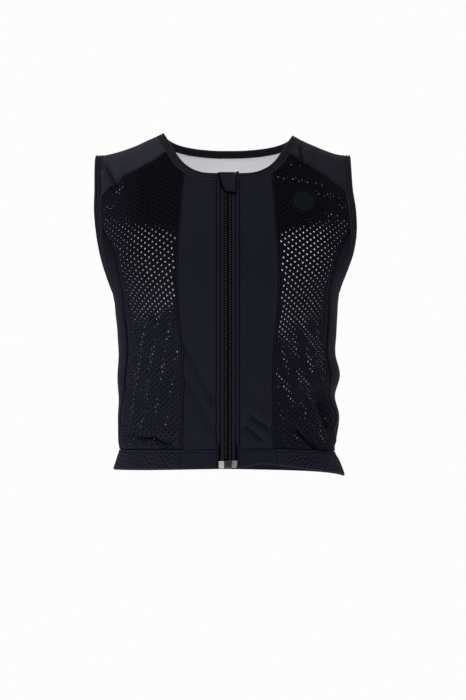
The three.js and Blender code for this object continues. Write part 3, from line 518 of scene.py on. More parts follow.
def slopes(point_on, spots):
    """Directions of growing angle and of growing level, and the outward normal."""
    low_angle = spots.angle - small
    high_angle = np.minimum(spots.angle + small, quarter_turn)
    low_level = np.maximum(0, np.minimum(spots.level, 2 - small) - small)
    high_level = np.minimum(2, spots.level + small)
    along_angle = point_on(spots.but(angle=high_angle)) - point_on(spots.but(angle=low_angle))
    along_angle = along_angle / (high_angle - low_angle)[..., None]
    along_level = point_on(spots.but(level=high_level)) - point_on(spots.but(level=low_level))
    along_level = along_level / (high_level - low_level)[..., None]
    outward = unit(np.cross(along_angle, along_level))
    return along_angle, along_level, outward * (spots.side * np.where(spots.front, 1, -1))[..., None]


def fold_lift(point):
    total = np.zeros(point.shape[:-1])
    for across, rise, end_across, end_rise, spread, lift in folds:
        start_x = across * side_half_width
        start_z = hem_height + rise * body_length
        run_x = end_across * side_half_width - start_x
        run_z = hem_height + end_rise * body_length - start_z
        run = math.hypot(run_x, run_z)
        off_x = point[..., 0] - start_x
        off_z = point[..., 2] - start_z
        along = (off_x * run_x + off_z * run_z) / run
        beside = (off_x * run_z - off_z * run_x) / run
        past = np.maximum(0, np.maximum(-along, along - run))
        reach = spread * fold_reach
        total += lift * fold_height * np.exp(-((beside / reach) ** 2) - (past / reach) ** 2)
    return total


def hem_drop(spots):
    fade = np.maximum(0, 1 - spots.level / hem_wave_reach) ** 2
    turn = np.degrees(np.where(spots.front, spots.angle, np.pi - spots.angle))
    return fade * hem_band_height * hem_wave(spots.side * turn)


def formed_point(spots):
    point = base_point(spots)
    lift = np.where(spots.front, fold_lift(point), 0)
    if np.abs(lift).max(initial=0) > small:
        point = point + slopes(base_point, spots)[2] * lift[..., None]
    point[..., 2] -= hem_drop(spots)
    return point


def across_ridge(spots):
    level = np.full(spots.level.shape, 2 - small)
    across = base_point(spots.but(level=level))[..., 0] * spots.side
    angle = angle_at(~spots.front, spots.side, level, across)
    return Spots(~spots.front, spots.side, angle, level)


def outward_at(spots, point_on=formed_point):
    outward = slopes(point_on, spots)[2]
    at_ridge = spots.level >= 2 - small
    if at_ridge.any():
        beyond = slopes(point_on, across_ridge(spots))[2]
        outward = np.where(at_ridge[..., None], unit(outward + beyond), outward)
    return outward


def place(spots, lift):
    return formed_point(spots) + outward_at(spots) * np.asarray(lift, float)[..., None]


def walk(spots, direction, distance, strides=6):
    """The spots reached by walking over the surface in a direction."""
    here = spots
    stride = direction * (np.broadcast_to(distance, spots.angle.shape) / strides)[..., None]
    for _ in range(strides):
        along_angle, along_level, _ = slopes(base_point, here)
        aa = dot(along_angle, along_angle)
        al = dot(along_angle, along_level)
        ll = dot(along_level, along_level)
        by_angle = dot(stride, along_angle)
        by_level = dot(stride, along_level)
        scale = aa * ll - al * al
        angle = here.angle + (by_angle * ll - by_level * al) / scale
        level = np.minimum(2, here.level + (by_level * aa - by_angle * al) / scale)
        past = angle > quarter_turn
        front = np.where(past, ~here.front, here.front)
        here = Spots(front, here.side, np.where(past, np.pi - angle, angle), level)
    return here


class Edge:
    """An edge of the vest, followed by steps from 0 to 2, and the seam tucked under its binding."""

    def __init__(self, spot_on, side, away_sign):
        self.spot_on = spot_on
        self.side = side
        self.away_sign = away_sign

    def inside(self, step, distance):
        step = np.asarray(step, float)
        spots = self.spot_on(step)
        before = base_point(self.spot_on(np.maximum(0, step - small)))
        after = base_point(self.spot_on(np.minimum(2, step + small)))
        outward = outward_at(spots, base_point)
        away = unit(np.cross(unit(after - before), outward)) * self.away_sign * self.side
        return walk(spots, away, distance)

    def seam(self, step):
        return self.inside(step, binding_width - tuck)


def neck_edge(side):
    neck_point_height = height_at(side, 2.0, neck_half_width)

    def spot_on(step):
        front = step <= 1
        across = np.where(front, neck_front_across(step), neck_back_across(step - 1))
        across = across * neck_half_width
        drop = np.where(front, neck_front_drop(step), neck_back_drop(step - 1))
        middle_height = neck_rise - np.where(front, front_neck_drop, back_neck_drop)
        found = spot_at(front, side, across, mix(neck_point_height, middle_height, drop))
        on_ridge = drop < small
        ridge_angle = angle_at(front, side, np.full(np.shape(step), 2 - small), across)
        angle = np.where(on_ridge, ridge_angle, found.angle)
        return Spots(front, side, angle, np.where(on_ridge, 2, found.level))

    return Edge(spot_on, side, 1)


def armhole_edge(side):
    def spot_on(step):
        front = step <= 1
        share = (1 - np.cos(np.pi * np.where(front, step, 2 - step))) / 2
        level = 1 + np.arcsin(np.clip(share, 0, 1)) / quarter_turn
        return Spots(front, side, edge_angle(front, level), level)

    return Edge(spot_on, side, -1)


def rise_share(height):
    return (height - hem_height) / body_length


def seam_spot(front, side, table, level):
    across = edge_half_width(side, level) * table(rise_share(edge_height(level)))
    return Spots(front, side, angle_at(front, side, level, across), level)


def princess_spot(side, level, beyond=0):
    """A spot on the seam between the front and mesh panels, or a little beyond it."""
    level = np.asarray(level, float)

    def across_at(height):
        return side_half_width * princess_seam(rise_share(height))

    start = np.full(level.shape, float(hem_height))
    height = zero_between(start, start * 0, lambda tried: height_at(side, level, across_at(tried)) - tried)
    angle = angle_at(True, side, level, across_at(height) + beyond)
    return Spots(True, side, angle, level)


def yoke_spot(front, side, across, beyond=0):
    """A spot on a yoke seam, or a little below it."""
    table = yoke_seam_front if front else yoke_seam_back
    share = across / (shoulder_half_width * shoulder_share[side])
    return spot_at(front, side, across, -armhole_height * table(share) - beyond)


# Charts turn spots into the flat coordinates in which a panel is gridded, and back
class FlatChart:
    def __init__(self, front):
        self.front = front

    def flatten(self, spots):
        return base_point(spots)[..., [0, 2]]

    def spots(self, flat):
        side = np.where(flat[..., 0] < 0, right, left)
        return spot_at(self.front, side, np.abs(flat[..., 0]), flat[..., 1])


class TurnChart:
    def __init__(self, side):
        self.side = side

    def flatten(self, spots):
        return np.stack([spots.angle, spots.level], -1)

    def spots(self, flat):
        return Spots(True, self.side, flat[..., 0], flat[..., 1])


class RingChart:
    """Turns round through the back, from the front of one side to the front of the other."""

    def flatten(self, spots):
        turn = np.where(spots.front, np.pi - spots.angle, spots.angle)
        return np.stack([spots.side * turn, spots.level], -1)

    def spots(self, flat):
        turn = np.abs(flat[..., 0])
        front = turn > quarter_turn
        side = np.where(flat[..., 0] < 0, right, left)
        return Spots(front, side, np.where(front, np.pi - turn, turn), flat[..., 1])


class RidgeChart:
    def __init__(self, side):
        self.side = side

    def flatten(self, spots):
        across = base_point(spots)[..., 0] * self.side
        return np.stack([across, np.where(spots.front, spots.level, 4 - spots.level)], -1)

    def spots(self, flat):
        front = flat[..., 1] <= 2
        level = np.where(front, flat[..., 1], 4 - flat[..., 1])
        angle = angle_at(front, self.side, np.minimum(level, 2 - small), flat[..., 0])
        return Spots(front, self.side, angle, level)


class ClothChart:
    """The front of one side laid flat: distance round from the middle line and distance up."""

    def __init__(self, side):
        self.side = side
        self.levels = np.linspace(0, 2, 241)
        self.angles = np.linspace(0, quarter_turn, 181)
        points = base_point(Spots(True, side, self.angles[None, :], self.levels[:, None]))
        steps = np.linalg.norm(np.diff(points, axis=1), axis=-1)
        self.round = np.concatenate([np.zeros((len(self.levels), 1)), np.cumsum(steps, axis=1)], 1)
        self.up = run_along(points[:, 110])

    def round_at(self, angle, level):
        row = np.clip(level / 2 * (len(self.levels) - 1), 0, len(self.levels) - 1.001)
        column = np.clip(angle / quarter_turn * (len(self.angles) - 1), 0, len(self.angles) - 1.001)
        i = row.astype(int)
        j = column.astype(int)
        low = mix(self.round[i, j], self.round[i, j + 1], column - j)
        high = mix(self.round[i + 1, j], self.round[i + 1, j + 1], column - j)
        return mix(low, high, row - i)

    def flatten(self, spots):
        up = np.interp(spots.level, self.levels, self.up)
        return np.stack([self.round_at(spots.angle, spots.level), up], -1)

    def spots(self, flat):
        level = np.interp(flat[..., 1], self.up, self.levels)
        low = np.zeros(level.shape)
        angle = zero_between(
            low, low + quarter_turn, lambda tried: self.round_at(tried, level) - flat[..., 0], 24
        )
        return Spots(True, self.side, angle, level)


def fill_patch(chart, u, v, bottom, right_edge, top, left_edge):
    """Spots of a four-sided patch from its edges, at shares u across and v up."""
    b, r, t, l = [chart.flatten(edge) for edge in (bottom(u), right_edge(v), top(u), left_edge(v))]
    across = u[None, :, None]
    up = v[:, None, None]
    corners = mix(mix(b[0], b[-1], u[:, None])[None], mix(t[0], t[-1], u[:, None])[None], up)
    flat = mix(b[None], t[None], up) + mix(l[:, None], r[:, None], across) - corners
    return chart.spots(flat)


def joined(breaks, parts):
    """One edge from several: each part takes the shares up to its break."""
    def edge(shares):
        ends = [0, *breaks, 1]
        runs = []
        for i, part in enumerate(parts):
            last = i == len(parts) - 1
            chosen = (shares >= ends[i]) & ((shares < ends[i + 1]) | last)
            local = (shares[chosen] - ends[i]) / (ends[i + 1] - ends[i])
            if chosen.any():
                runs.append(part(local))
        return join_spots(runs)

    return edge


# Distances from a rim at which a panel's points lie closer together. Two of them carry stitches
rim_steps = (0, 0.25, 0.7, 1.3, 1.9, 2.4, 2.8, 3.2, 3.7, 4.6, 6.0)
topstitch_inset = 2.8
hem_stitch_inset = 3.7
topstitch = rim_steps.index(topstitch_inset)
hem_stitch = rim_steps.index(hem_stitch_inset)
both_rims = (topstitch, -1 - topstitch)


def rim_shares(width, count, rim=rim_steps):
    """Even shares across a width, closer together near both rims."""
    rim = np.array(rim, float)
    inner = np.linspace(rim[-1], width - rim[-1], count)
    return np.concatenate([rim[:-1], inner, width - rim[-2::-1]]) / width


def rim_distance(points):
    """How far each point of a grid lies from the grid's rim."""
    def to_ends(axis):
        steps = np.linalg.norm(np.diff(points, axis=axis), axis=-1)
        pad = [(0, 0), (0, 0)]
        pad[axis] = (1, 0)
        run = np.pad(np.cumsum(steps, axis=axis), pad)
        total = np.take(run, [-1], axis=axis)
        return run, total - run

    from_bottom, from_top = to_ends(0)
    from_left, from_right = to_ends(1)
    return from_left, from_right, from_bottom, from_top


def rounded(distance, radius):
    """The height, as a share, of a quarter-round edge at a distance from the rim."""
    share = np.clip(distance / radius, 0, 1)
    return np.sqrt(np.maximum(0, 1 - (1 - share) ** 2))


def ripple(along, seed):
    """A gentle uneven wave of mean zero along a seam."""
    total = np.zeros(np.shape(along))
    for i in range(5):
        period = (31.0, 19.0, 12.5, 8.3, 6.1)[i]
        strength = (0.3, 0.3, 0.25, 0.2, 0.12)[i]
        total += strength * np.sin(2 * np.pi * along / period + 1.7 * i + 2.3 * seed + i * i)
    return total


def soft_waves(x, z, seed):
    """Broad low undulations of worn cloth."""
    total = np.zeros(np.shape(x))
    for i in range(6):
        turn = 0.7 + 1.9 * i + seed
        period = (95.0, 70.0, 52.0, 41.0, 33.0, 27.0)[i]
        strength = (0.45, 0.35, 0.28, 0.2, 0.14, 0.1)[i]
        run = x * math.cos(turn) + z * math.sin(turn)
        total += strength * np.sin(2 * np.pi * run / period + 2.1 * i + seed)
    return total


# Meshes. A piece is made in metres, faces outwards, with its cloth coordinates as a UV layer
def make_piece(name, points, faces, cloth_map, material, replaces=(), sharp=None):
    points = np.asarray(points, float)
    triangles = np.concatenate([
        face[:, [0, i, i + 1]] for face in faces for i in range(1, face.shape[1] - 1)
    ])
    a, b, c = (points[triangles[:, i]] for i in range(3))
    if dot(a, np.cross(b, c)).sum() < 0:
        faces = [face[:, ::-1] for face in faces]
    mesh = bpy.data.meshes.new(name)
    mesh.from_pydata((points / 1000).tolist(), [], [list(face) for part in faces for face in part.tolist()])
    mesh.polygons.foreach_set("use_smooth", [True] * len(mesh.polygons))
    layer = mesh.uv_layers.new(name="cloth")
    corners = np.zeros(len(mesh.loops), np.int32)
    mesh.loops.foreach_get("vertex_index", corners)
    layer.data.foreach_set("uv", (np.asarray(cloth_map, float)[corners] / 1000).astype(np.float32).ravel())
    if sharp is not None:
        mesh.set_sharp_from_angle(angle=math.radians(sharp))
    mesh.update()
    piece = bpy.data.objects.new(name, mesh)
    bpy.context.scene.collection.objects.link(piece)
    mesh.materials.append(material)
    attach(piece, "root")
    if replaces:
        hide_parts(*replaces)
    return piece


def grid_index(rows, columns):
    return np.arange(rows * columns).reshape(rows, columns)


def cell_corners(grid):
    return grid[:-1, :-1], grid[:-1, 1:], grid[1:, 1:], grid[1:, :-1]


def cell_means(grid):
    """The mean of the four corners of each cell of a grid."""
    return (sum(cell_corners(grid)) / 4).ravel()


def sheet_faces(rows, columns):
    """Faces of a closed sheet between a low and a high grid of points."""
    index = grid_index(rows, columns)
    top = rows * columns
    a, b, c, d = cell_corners(index)
    low = np.stack([a, d, c, b], -1).reshape(-1, 4)
    high = np.stack([a, b, c, d], -1).reshape(-1, 4) + top
    border = np.concatenate([index[0, :-1], index[:-1, -1], index[-1, :0:-1], index[:0:-1, 0]])
    after = np.roll(border, -1)
    return [np.concatenate([low, high, np.stack([border, after, after + top, border + top], -1)])]


def sweep_faces(rings, size, closed):
    """Faces of a tube of closed rings, with a fan over each end of an open one."""
    index = grid_index(rings, size)
    following = np.roll(index, -1, axis=0) if closed else index[1:]
    here = index if closed else index[:-1]
    turned = np.roll(here, -1, axis=1)
    turned_following = np.roll(following, -1, axis=1)
    quads = np.stack([here, following, turned_following, turned], -1).reshape(-1, 4)
    if closed:
        return [quads]
    centre = rings * size
    start = np.stack([np.full(size, centre), index[0], np.roll(index[0], -1)], -1)
    end = np.stack([np.full(size, centre + 1), np.roll(index[-1], -1), index[-1]], -1)
    return [quads, start, end]


def tube_faces(count, rings, sides):
    """Faces of many small closed tubes, each of so many rings of so many sides."""
    index = grid_index(rings, sides)
    here = index[:-1]
    following = index[1:]
    walls = np.stack([here, np.roll(here, -1, axis=1), np.roll(following, -1, axis=1), following], -1)
    caps = np.stack([index[0, ::-1], index[-1]])
    first = (np.arange(count) * rings * sides)[:, None, None]
    return [(walls.reshape(-1, 4) + first).reshape(-1, 4), (caps + first).reshape(-1, sides)]


def sheet_piece(name, low, high, cloth_map, material, replaces):
    """A closed sheet between a low and a high grid of points."""
    points = np.concatenate([low.reshape(-1, 3), high.reshape(-1, 3)])
    mapped = np.concatenate([cloth_map.reshape(-1, 2)] * 2)
    return make_piece(name, points, sheet_faces(*high.shape[:2]), mapped, material, replaces)


def faces_of(piece, low, high, walls=False):
    """A choice among a sheet's faces: its low cells, its high cells and its walls."""
    count = len(piece.data.polygons) - 2 * len(high)
    return np.concatenate([np.broadcast_to(low, high.shape), high, np.full(count, walls)])


def add_material(piece, material, chosen):
    """Give the chosen faces of a piece another material."""
    kinds = np.zeros(len(piece.data.polygons), np.int32)
    piece.data.polygons.foreach_get("material_index", kinds)
    kinds[chosen] = len(piece.data.materials)
    piece.data.materials.append(material)
    piece.data.polygons.foreach_set("material_index", kinds)


# A panel's rim: share of the thickness left there, radius of its rounding, how far puckers reach,
# between which distances the broad waves fade in, and how deep a valley has to be to get painted shade
rim_share = 0.12
rim_radius = 2.0
pucker_reach = 7
wave_fade = (2, 22)
valley_depth = 0.6


class Panel:
    """A sewn panel of cloth over a grid of spots, with rounded rims."""

    def __init__(self, spots, thickness, seed, edge_lift, low=0.0, pucker=0.35, waves=0.5):
        self.base = base_point(spots)
        self.rims = rim_distance(self.base)
        self.nearest = np.minimum.reduce(self.rims)
        puckered = np.exp(-self.nearest / pucker_reach) * (self.nearest > 0.1)
        lift = thickness * (rim_share + (1 - rim_share) * rounded(self.nearest, rim_radius))
        lift = lift + pucker * ripple(self.rims[0] + self.rims[2], seed) * puckered
        broad = soft_waves(self.base[..., 0], self.base[..., 2], seed)
        lift = lift + waves * broad * smooth_step(*wave_fade, self.nearest)
        raised, sunk = edge_lift(self)
        self.shaded_valley_cells = cell_means(sunk) < -valley_depth
        self.formed = formed_point(spots)
        self.outward = outward_at(spots)
        self.high = self.formed + self.outward * (lift + raised + sunk)[..., None]
        self.low = self.formed + self.outward * low

    def lines(self, rows=(), columns=(), inset=topstitch):
        """Rows and columns of the face, with their normals, for stitches."""
        inner = slice(inset, -inset)
        chosen = [(row, inner) for row in rows] + [(inner, column) for column in columns]
        return [(self.high[at], self.outward[at]) for at in chosen]

    def sew(self, name, material, lines):
        """Make the panel's piece and its stitches."""
        cloth_map = np.stack([self.rims[0], self.rims[2]], -1)
        piece = sheet_piece(f"{name}_cloth", self.low, self.high, cloth_map, material, [name])
        # Painted shade: cells deep in a valley or a hem slit take the dark inner mesh cloth
        add_material(piece, inner_mesh_and_painted_shade, faces_of(piece, False, self.shaded_valley_cells))
        return piece, stitching(f"{name}_stitching", lines)

    def sew_sheet(self, name, material, lines):
        """Sew the panel and work out twice the area of each of its cells."""
        piece, rows = self.sew(name, material, lines)
        a, b, c, d = cell_corners(self.formed)
        halves = np.linalg.norm(np.cross(b - a, c - a), axis=-1)
        halves = halves + np.linalg.norm(np.cross(c - a, d - a), axis=-1)


def groove(distance, at=topstitch_inset, depth=1.3, width=0.75):
    """The valley that a row of stitches pulls into cloth."""
    return -depth * np.exp(-(((distance - at) / width) ** 2))


def seam_ridge(distance, height):
    """The fold that lies proud of a seam."""
    return height * np.exp(-(distance / 9) ** 2) * rounded(distance, 1.6)


# Rings of a stitch: share along it, then size and lift as shares of its radius
stitch_rings = [(0, 0.25, -0.35), (0.12, 0.85, 0.15), (0.5, 1, 0.35), (0.88, 0.85, 0.15), (1, 0.25, -0.35)]
stitch_sides = 6
stitch_cover = 0.72
stitch_lift = 0.05


def along_line(points, run, at):
    return np.stack([np.interp(at, run, points[:, k]) for k in range(points.shape[1])], -1)


def stitching(name, lines, pitch=3.0, radius=0.42):
    """Short raised threads along lines of (points, normals)."""
    ring_at, ring_size, ring_lift = np.array(stitch_rings).T
    turns = np.arange(stitch_sides) / stitch_sides * 2 * np.pi
    all_points = []
    for points, normals in lines:
        run = run_along(points)
        marks = np.linspace(0, run[-1], max(2, int(run[-1] / pitch)) + 1)
        start = along_line(points, run, marks[:-1])
        end = along_line(points, run, mix(marks[:-1], marks[1:], stitch_cover))
        up = unit(along_line(normals, run, marks[:-1]))
        beside = unit(np.cross(unit(end - start), up))
        centre = start[:, None] + (end - start)[:, None] * ring_at[None, :, None]
        centre = centre + up[:, None] * (radius * ring_lift + stitch_lift)[None, :, None]
        spread = radius * ring_size[None, :, None, None]
        ring = beside[:, None, None] * np.cos(turns)[None, None, :, None]
        ring = ring + up[:, None, None] * np.sin(turns)[None, None, :, None]
        all_points.append((centre[:, :, None] + ring * spread).reshape(-1, 3))
    points = np.concatenate(all_points)
    faces = tube_faces(len(points) // (len(stitch_rings) * stitch_sides), len(stitch_rings), stitch_sides)
    return make_piece(name, points, faces, points[:, [0, 2]], thread)


# Shader groups shared by the materials
def new_group(name, inputs, outputs):
    group = bpy.data.node_groups.new(name, "ShaderNodeTree")
    for label, kind, value in inputs:
        socket = group.interface.new_socket(label, in_out="INPUT", socket_type=kind)
        if value is not None:
            socket.default_value = value
    for label, kind in outputs:
        group.interface.new_socket(label, in_out="OUTPUT", socket_type=kind)
    return group, group.nodes.new("NodeGroupInput"), group.nodes.new("NodeGroupOutput")


class Graph:
    """Short ways to add nodes to a tree."""

    def __init__(self, tree):
        self.tree = tree

    def set(self, socket, value):
        if isinstance(value, bpy.types.NodeSocket):
            self.tree.links.new(value, socket)
        else:
            socket.default_value = value

    def add(self, kind, group=None, **inputs):
        """A new node's outputs."""
        node = self.tree.nodes.new(kind)
        if group is not None:
            node.node_tree = group
        for label, value in inputs.items():
            self.set(node.inputs[label.replace("_", " ")], value)
        return node.outputs

    def math(self, operation, *values, clamp=False):
        node = self.tree.nodes.new("ShaderNodeMath")
        node.operation = operation
        node.use_clamp = clamp
        for socket, value in zip(node.inputs, values):
            self.set(socket, value)
        return node.outputs[0]

    def wave(self, value):
        """Humps of height 1, one for each whole step of the value."""
        return self.math("ABSOLUTE", self.math("SINE", self.math("MULTIPLY", value, math.pi)))

    def scaled(self, vector, scale):
        node = self.tree.nodes.new("ShaderNodeVectorMath")
        node.operation = "MULTIPLY"
        self.set(node.inputs[0], vector)
        self.set(node.inputs[1], (scale, scale, scale))
        return node.outputs[0]

    def blend(self, share, a, b):
        node = self.tree.nodes.new("ShaderNodeMix")
        node.data_type = "RGBA"
        self.set(node.inputs["Factor"], share)
        self.set(node.inputs[6], a)
        self.set(node.inputs[7], b)
        return node.outputs[2]


def knit_group():
    """Rows and columns of knitted loops: height and shade from cloth coordinates."""
    group, entry, out = new_group(
        "KnitLoops",
        [
            ("Cloth", "NodeSocketVector", None),
            ("Loop width", "NodeSocketFloat", 0.001),
            ("Loop height", "NodeSocketFloat", 0.001),
            ("Unevenness", "NodeSocketFloat", 0.3),
        ],
        [("Height", "NodeSocketFloat"), ("Shade", "NodeSocketFloat")],
    )
    g = Graph(group)
    cloth = entry.outputs["Cloth"]
    parts = g.add("ShaderNodeSeparateXYZ", Vector=cloth)
    noise = g.add("ShaderNodeTexNoise", Vector=g.scaled(cloth, 900), Detail=2.0)[0]
    wobble = g.math("MULTIPLY", g.math("SUBTRACT", noise, 0.5), entry.outputs["Unevenness"])
    columns = g.math("DIVIDE", parts[0], entry.outputs["Loop width"])
    rows = g.math("DIVIDE", parts[1], entry.outputs["Loop height"])
    column_wave = g.wave(g.math("ADD", columns, wobble))
    slant = g.math("ADD", g.math("MULTIPLY", column_wave, 0.5), rows)
    row_wave = g.wave(g.math("ADD", slant, wobble))
    height = g.math("MULTIPLY", g.math("ADD", column_wave, row_wave), 0.5)
    shade = g.math("ADD", g.math("MULTIPLY", height, 0.8), g.math("MULTIPLY", wobble, 0.5), clamp=True)
    g.set(out.inputs["Height"], height)
    g.set(out.inputs["Shade"], shade)
    return group


def wear_group():
    """Uneven dye, soft rubbing and specks of lint, from object coordinates."""
    group, entry, out = new_group(
        "ClothWear",
        [
            ("Place", "NodeSocketVector", None),
            ("Patch size", "NodeSocketFloat", 0.05),
            ("Lint", "NodeSocketFloat", 0.2),
        ],
        [("Rubbed", "NodeSocketFloat"), ("Lint", "NodeSocketFloat")],
    )
    g = Graph(group)
    place_in = entry.outputs["Place"]
    scale = g.math("DIVIDE", 1.0, entry.outputs["Patch size"])
    rubbed = g.add("ShaderNodeTexNoise", Vector=place_in, Scale=scale, Detail=4.0, Roughness=0.6)[0]
    specks = g.add("ShaderNodeTexNoise", Vector=place_in, Scale=1400.0, Detail=1.0)[0]
    peaks = g.math("MULTIPLY", g.math("SUBTRACT", specks, 0.68), 9.0, clamp=True)
    g.set(out.inputs["Rubbed"], rubbed)
    g.set(out.inputs["Lint"], g.math("MULTIPLY", peaks, entry.outputs["Lint"]))
    return group


knit = knit_group()
wear = wear_group()


def new_material(name):
    """A material, its graph, its shader and its object coordinates."""
    material = bpy.data.materials.new(name)
    material.use_nodes = True
    g = Graph(material.node_tree)
    return material, g, material.node_tree.nodes["Principled BSDF"], g.add("ShaderNodeTexCoord")["Object"]


# The chest of the mesh lies in shade: between which heights it deepens and between which
# distances round from the middle it fades, in metres, and the share that stays beyond them
chest_shade_rise = (0.2, 0.33)
chest_shade_reach = (0.125, 0.185)
chest_shade_beyond = 0.2


def cloth_material(
    name, deep, worn, loop, bump, roughness, sheen=0.015, gloss=0.04, uneven=0.35, chest_depth=None
):
    """Knitted or woven cloth: deep and worn are its two colours, loop its loop's width and height."""
    material, g, shader, place_out = new_material(name)
    uv = g.tree.nodes.new("ShaderNodeUVMap")
    uv.uv_map = "cloth"
    cloth = uv.outputs[0]
    loops = g.add(
        "ShaderNodeGroup", knit, Cloth=cloth, Loop_width=loop[0], Loop_height=loop[1], Unevenness=uneven
    )
    rubbing = g.add("ShaderNodeGroup", wear, Place=place_out, Patch_size=0.06, Lint=0.12)
    share = g.math("MULTIPLY", loops["Shade"], 0.55)
    share = g.math("ADD", share, g.math("MULTIPLY", rubbing["Rubbed"], 0.45), clamp=True)
    colour = g.blend(share, (*deep, 1), (*worn, 1))
    if chest_depth is not None:
        low, high = chest_shade_rise
        inner, outer = chest_shade_reach
        parts = g.add("ShaderNodeSeparateXYZ", Vector=cloth)
        climbed = g.math("DIVIDE", g.math("SUBTRACT", parts[1], low), high - low, clamp=True)
        within = g.math("DIVIDE", g.math("SUBTRACT", outer, parts[0]), outer - inner, clamp=True)
        within = g.math("ADD", g.math("MULTIPLY", within, 1 - chest_shade_beyond), chest_shade_beyond)
        colour = g.blend(g.math("MULTIPLY", climbed, within), colour, g.scaled(colour, chest_depth))
    lint_colour = tuple(min(1, value * 5 + 0.05) for value in worn)
    g.set(shader.inputs["Base Color"], g.blend(rubbing["Lint"], colour, (*lint_colour, 1)))
    rough = g.math("ADD", g.math("MULTIPLY", rubbing["Rubbed"], 0.14), roughness - 0.07)
    g.set(shader.inputs["Roughness"], rough)
    shader.inputs["Sheen Weight"].default_value = sheen
    shader.inputs["Sheen Roughness"].default_value = 0.45
    shader.inputs["Sheen Tint"].default_value = (0.75, 0.8, 1.0, 1)
    shader.inputs["Specular IOR Level"].default_value = gloss
    bumps = g.add("ShaderNodeBump", Distance=bump, Strength=0.8, Height=loops["Height"])
    g.set(shader.inputs["Normal"], bumps[0])
    return material


def hard_material(name, dark, light, roughness, metallic=0.0, coat=0.0, gloss=0.5):
    """Moulded plastic, rubber, film or metal with a fine uneven surface."""
    material, g, shader, place_out = new_material(name)
    rubbing = g.add("ShaderNodeGroup", wear, Place=place_out, Patch_size=0.004, Lint=0.05)
    g.set(shader.inputs["Base Color"], g.blend(rubbing["Rubbed"], (*dark, 1), (*light, 1)))
    fine = g.add("ShaderNodeTexNoise", Vector=place_out, Scale=900.0, Detail=3.0)[0]
    g.set(shader.inputs["Roughness"], g.math("ADD", g.math("MULTIPLY", fine, 0.2), roughness - 0.1))
    shader.inputs["Metallic"].default_value = metallic
    shader.inputs["Specular IOR Level"].default_value = gloss
    shader.inputs["Coat Weight"].default_value = coat
    g.set(shader.inputs["Normal"], g.add("ShaderNodeBump", Distance=0.00003, Height=fine)[0])
    return material


stretch = cloth_material(
    "StretchCloth", (0.0034, 0.0034, 0.0066), (0.0072, 0.0072, 0.0125), (0.0011, 0.0009), 0.00025, 0.82
)
# The side panels' copy of the stretch cloth, darker as painted shade because they catch more light
shaded_side_stretch = cloth_material(
    "ShadedSideStretchCloth", (0.0022, 0.0022, 0.0043), (0.0046, 0.0046, 0.0083), (0.0011, 0.0009), 0.00025, 0.8,
    sheen=0.01, gloss=0.03,
)
lining = cloth_material(
    "InnerFace", (0.74, 0.74, 0.77), (0.88, 0.88, 0.9), (0.0016, 0.0014), 0.0003, 0.9
)


def air_mesh(name, deep, worn, depth):
    return cloth_material(
        name, deep, worn, (0.0034, 0.0028), 0.0006, 0.86, gloss=0.02, uneven=0.7, chest_depth=depth
    )


def yoke_weave(name, deep, worn):
    return cloth_material(name, deep, worn, (0.0009, 0.0007), 0.0002, 0.66, sheen=0.01, gloss=0.03)


# Lit and shaded copies of the same cloth: the left mesh and yoke are a little darker than the right ones,
# as painted shade, with a deeper chest shade on the left mesh, and the right yoke a little lighter, as
# painted light
mesh_cloth = {
    right: air_mesh("AirMeshRight", (0.0012, 0.0012, 0.0034), (0.0106, 0.0106, 0.0172), 0.28),
    left: air_mesh("AirMeshLeftShaded", (0.0007, 0.0007, 0.0024), (0.0072, 0.0072, 0.012), 0.46),
}
yoke_cloth = {
    right: yoke_weave("YokeClothRightLit", (0.0078, 0.0078, 0.012), (0.0156, 0.0156, 0.0225)),
    left: yoke_weave("YokeClothLeftShaded", (0.005, 0.005, 0.0083), (0.0099, 0.0099, 0.0152)),
}
# The dark cloth of the inner mesh layer. It also serves as painted shade in valleys, beside seams,
# on the walls of the mesh holes, in hem slits, under the garage's turned rim and as the zip chain's bed
inner_mesh_and_painted_shade = cloth_material(
    "InnerMeshAndPaintedShade", (0.0004, 0.0004, 0.0008), (0.001, 0.001, 0.0017), (0.0012, 0.0008), 0.0003, 0.9,
    sheen=0.0, gloss=0.01,
)
hem_mesh = cloth_material(
    "HemMesh", (0.004, 0.004, 0.0075), (0.0125, 0.0125, 0.0195), (0.0021, 0.0035), 0.0005, 0.86, gloss=0.02,
)
binding_cloth = cloth_material(
    "BindingCloth", (0.0045, 0.0045, 0.0072), (0.0112, 0.0112, 0.0155), (0.0012, 0.001), 0.00025, 0.78
)
tape_cloth = cloth_material(
    "ZipTape", (0.0045, 0.0045, 0.006), (0.0098, 0.0098, 0.012), (0.0007, 0.0012), 0.0002, 0.85, uneven=0.2
)
thread = cloth_material(
    "Thread", (0.0012, 0.0012, 0.0022), (0.0036, 0.0036, 0.0054), (0.0004, 0.0004), 0.0001, 0.7, gloss=0.03
)
coil = hard_material("ZipCoil", (0.003, 0.003, 0.0038), (0.0095, 0.0095, 0.011), 0.34, gloss=0.25)
metal = hard_material("ZipMetal", (0.009, 0.008, 0.006), (0.028, 0.024, 0.019), 0.4, metallic=0.8)
film = hard_material("ZipFilm", (0.18, 0.18, 0.185), (0.36, 0.36, 0.37), 0.3, metallic=0.35, coat=0.2)
# The film of the wearer's left end tab is darker, in patches from near black to grey
darker_film = hard_material(
    "DarkerZipFilm", (0.02, 0.02, 0.022), (0.2, 0.2, 0.21), 0.3, metallic=0.35, coat=0.2
)
rubber = hard_material("BadgeRubber", (0.001, 0.0017, 0.0026), (0.0028, 0.0042, 0.0058), 0.5, gloss=0.04)
ring_rubber = hard_material(
    "BadgeRingRubber", (0.0006, 0.0008, 0.0014), (0.0014, 0.0018, 0.0028), 0.55, gloss=0.03
)


welt_inner = chain_half_width + stack_gap + tape_visible_width + stack_gap
zip_half_width = welt_inner + welt_width
neck_edge_middle = neck_rise - front_neck_drop


def beside_zip(side, level, extra=0):
    level = np.asarray(level, float)
    return Spots(True, side, angle_at(True, side, level, zip_half_width + extra), level)


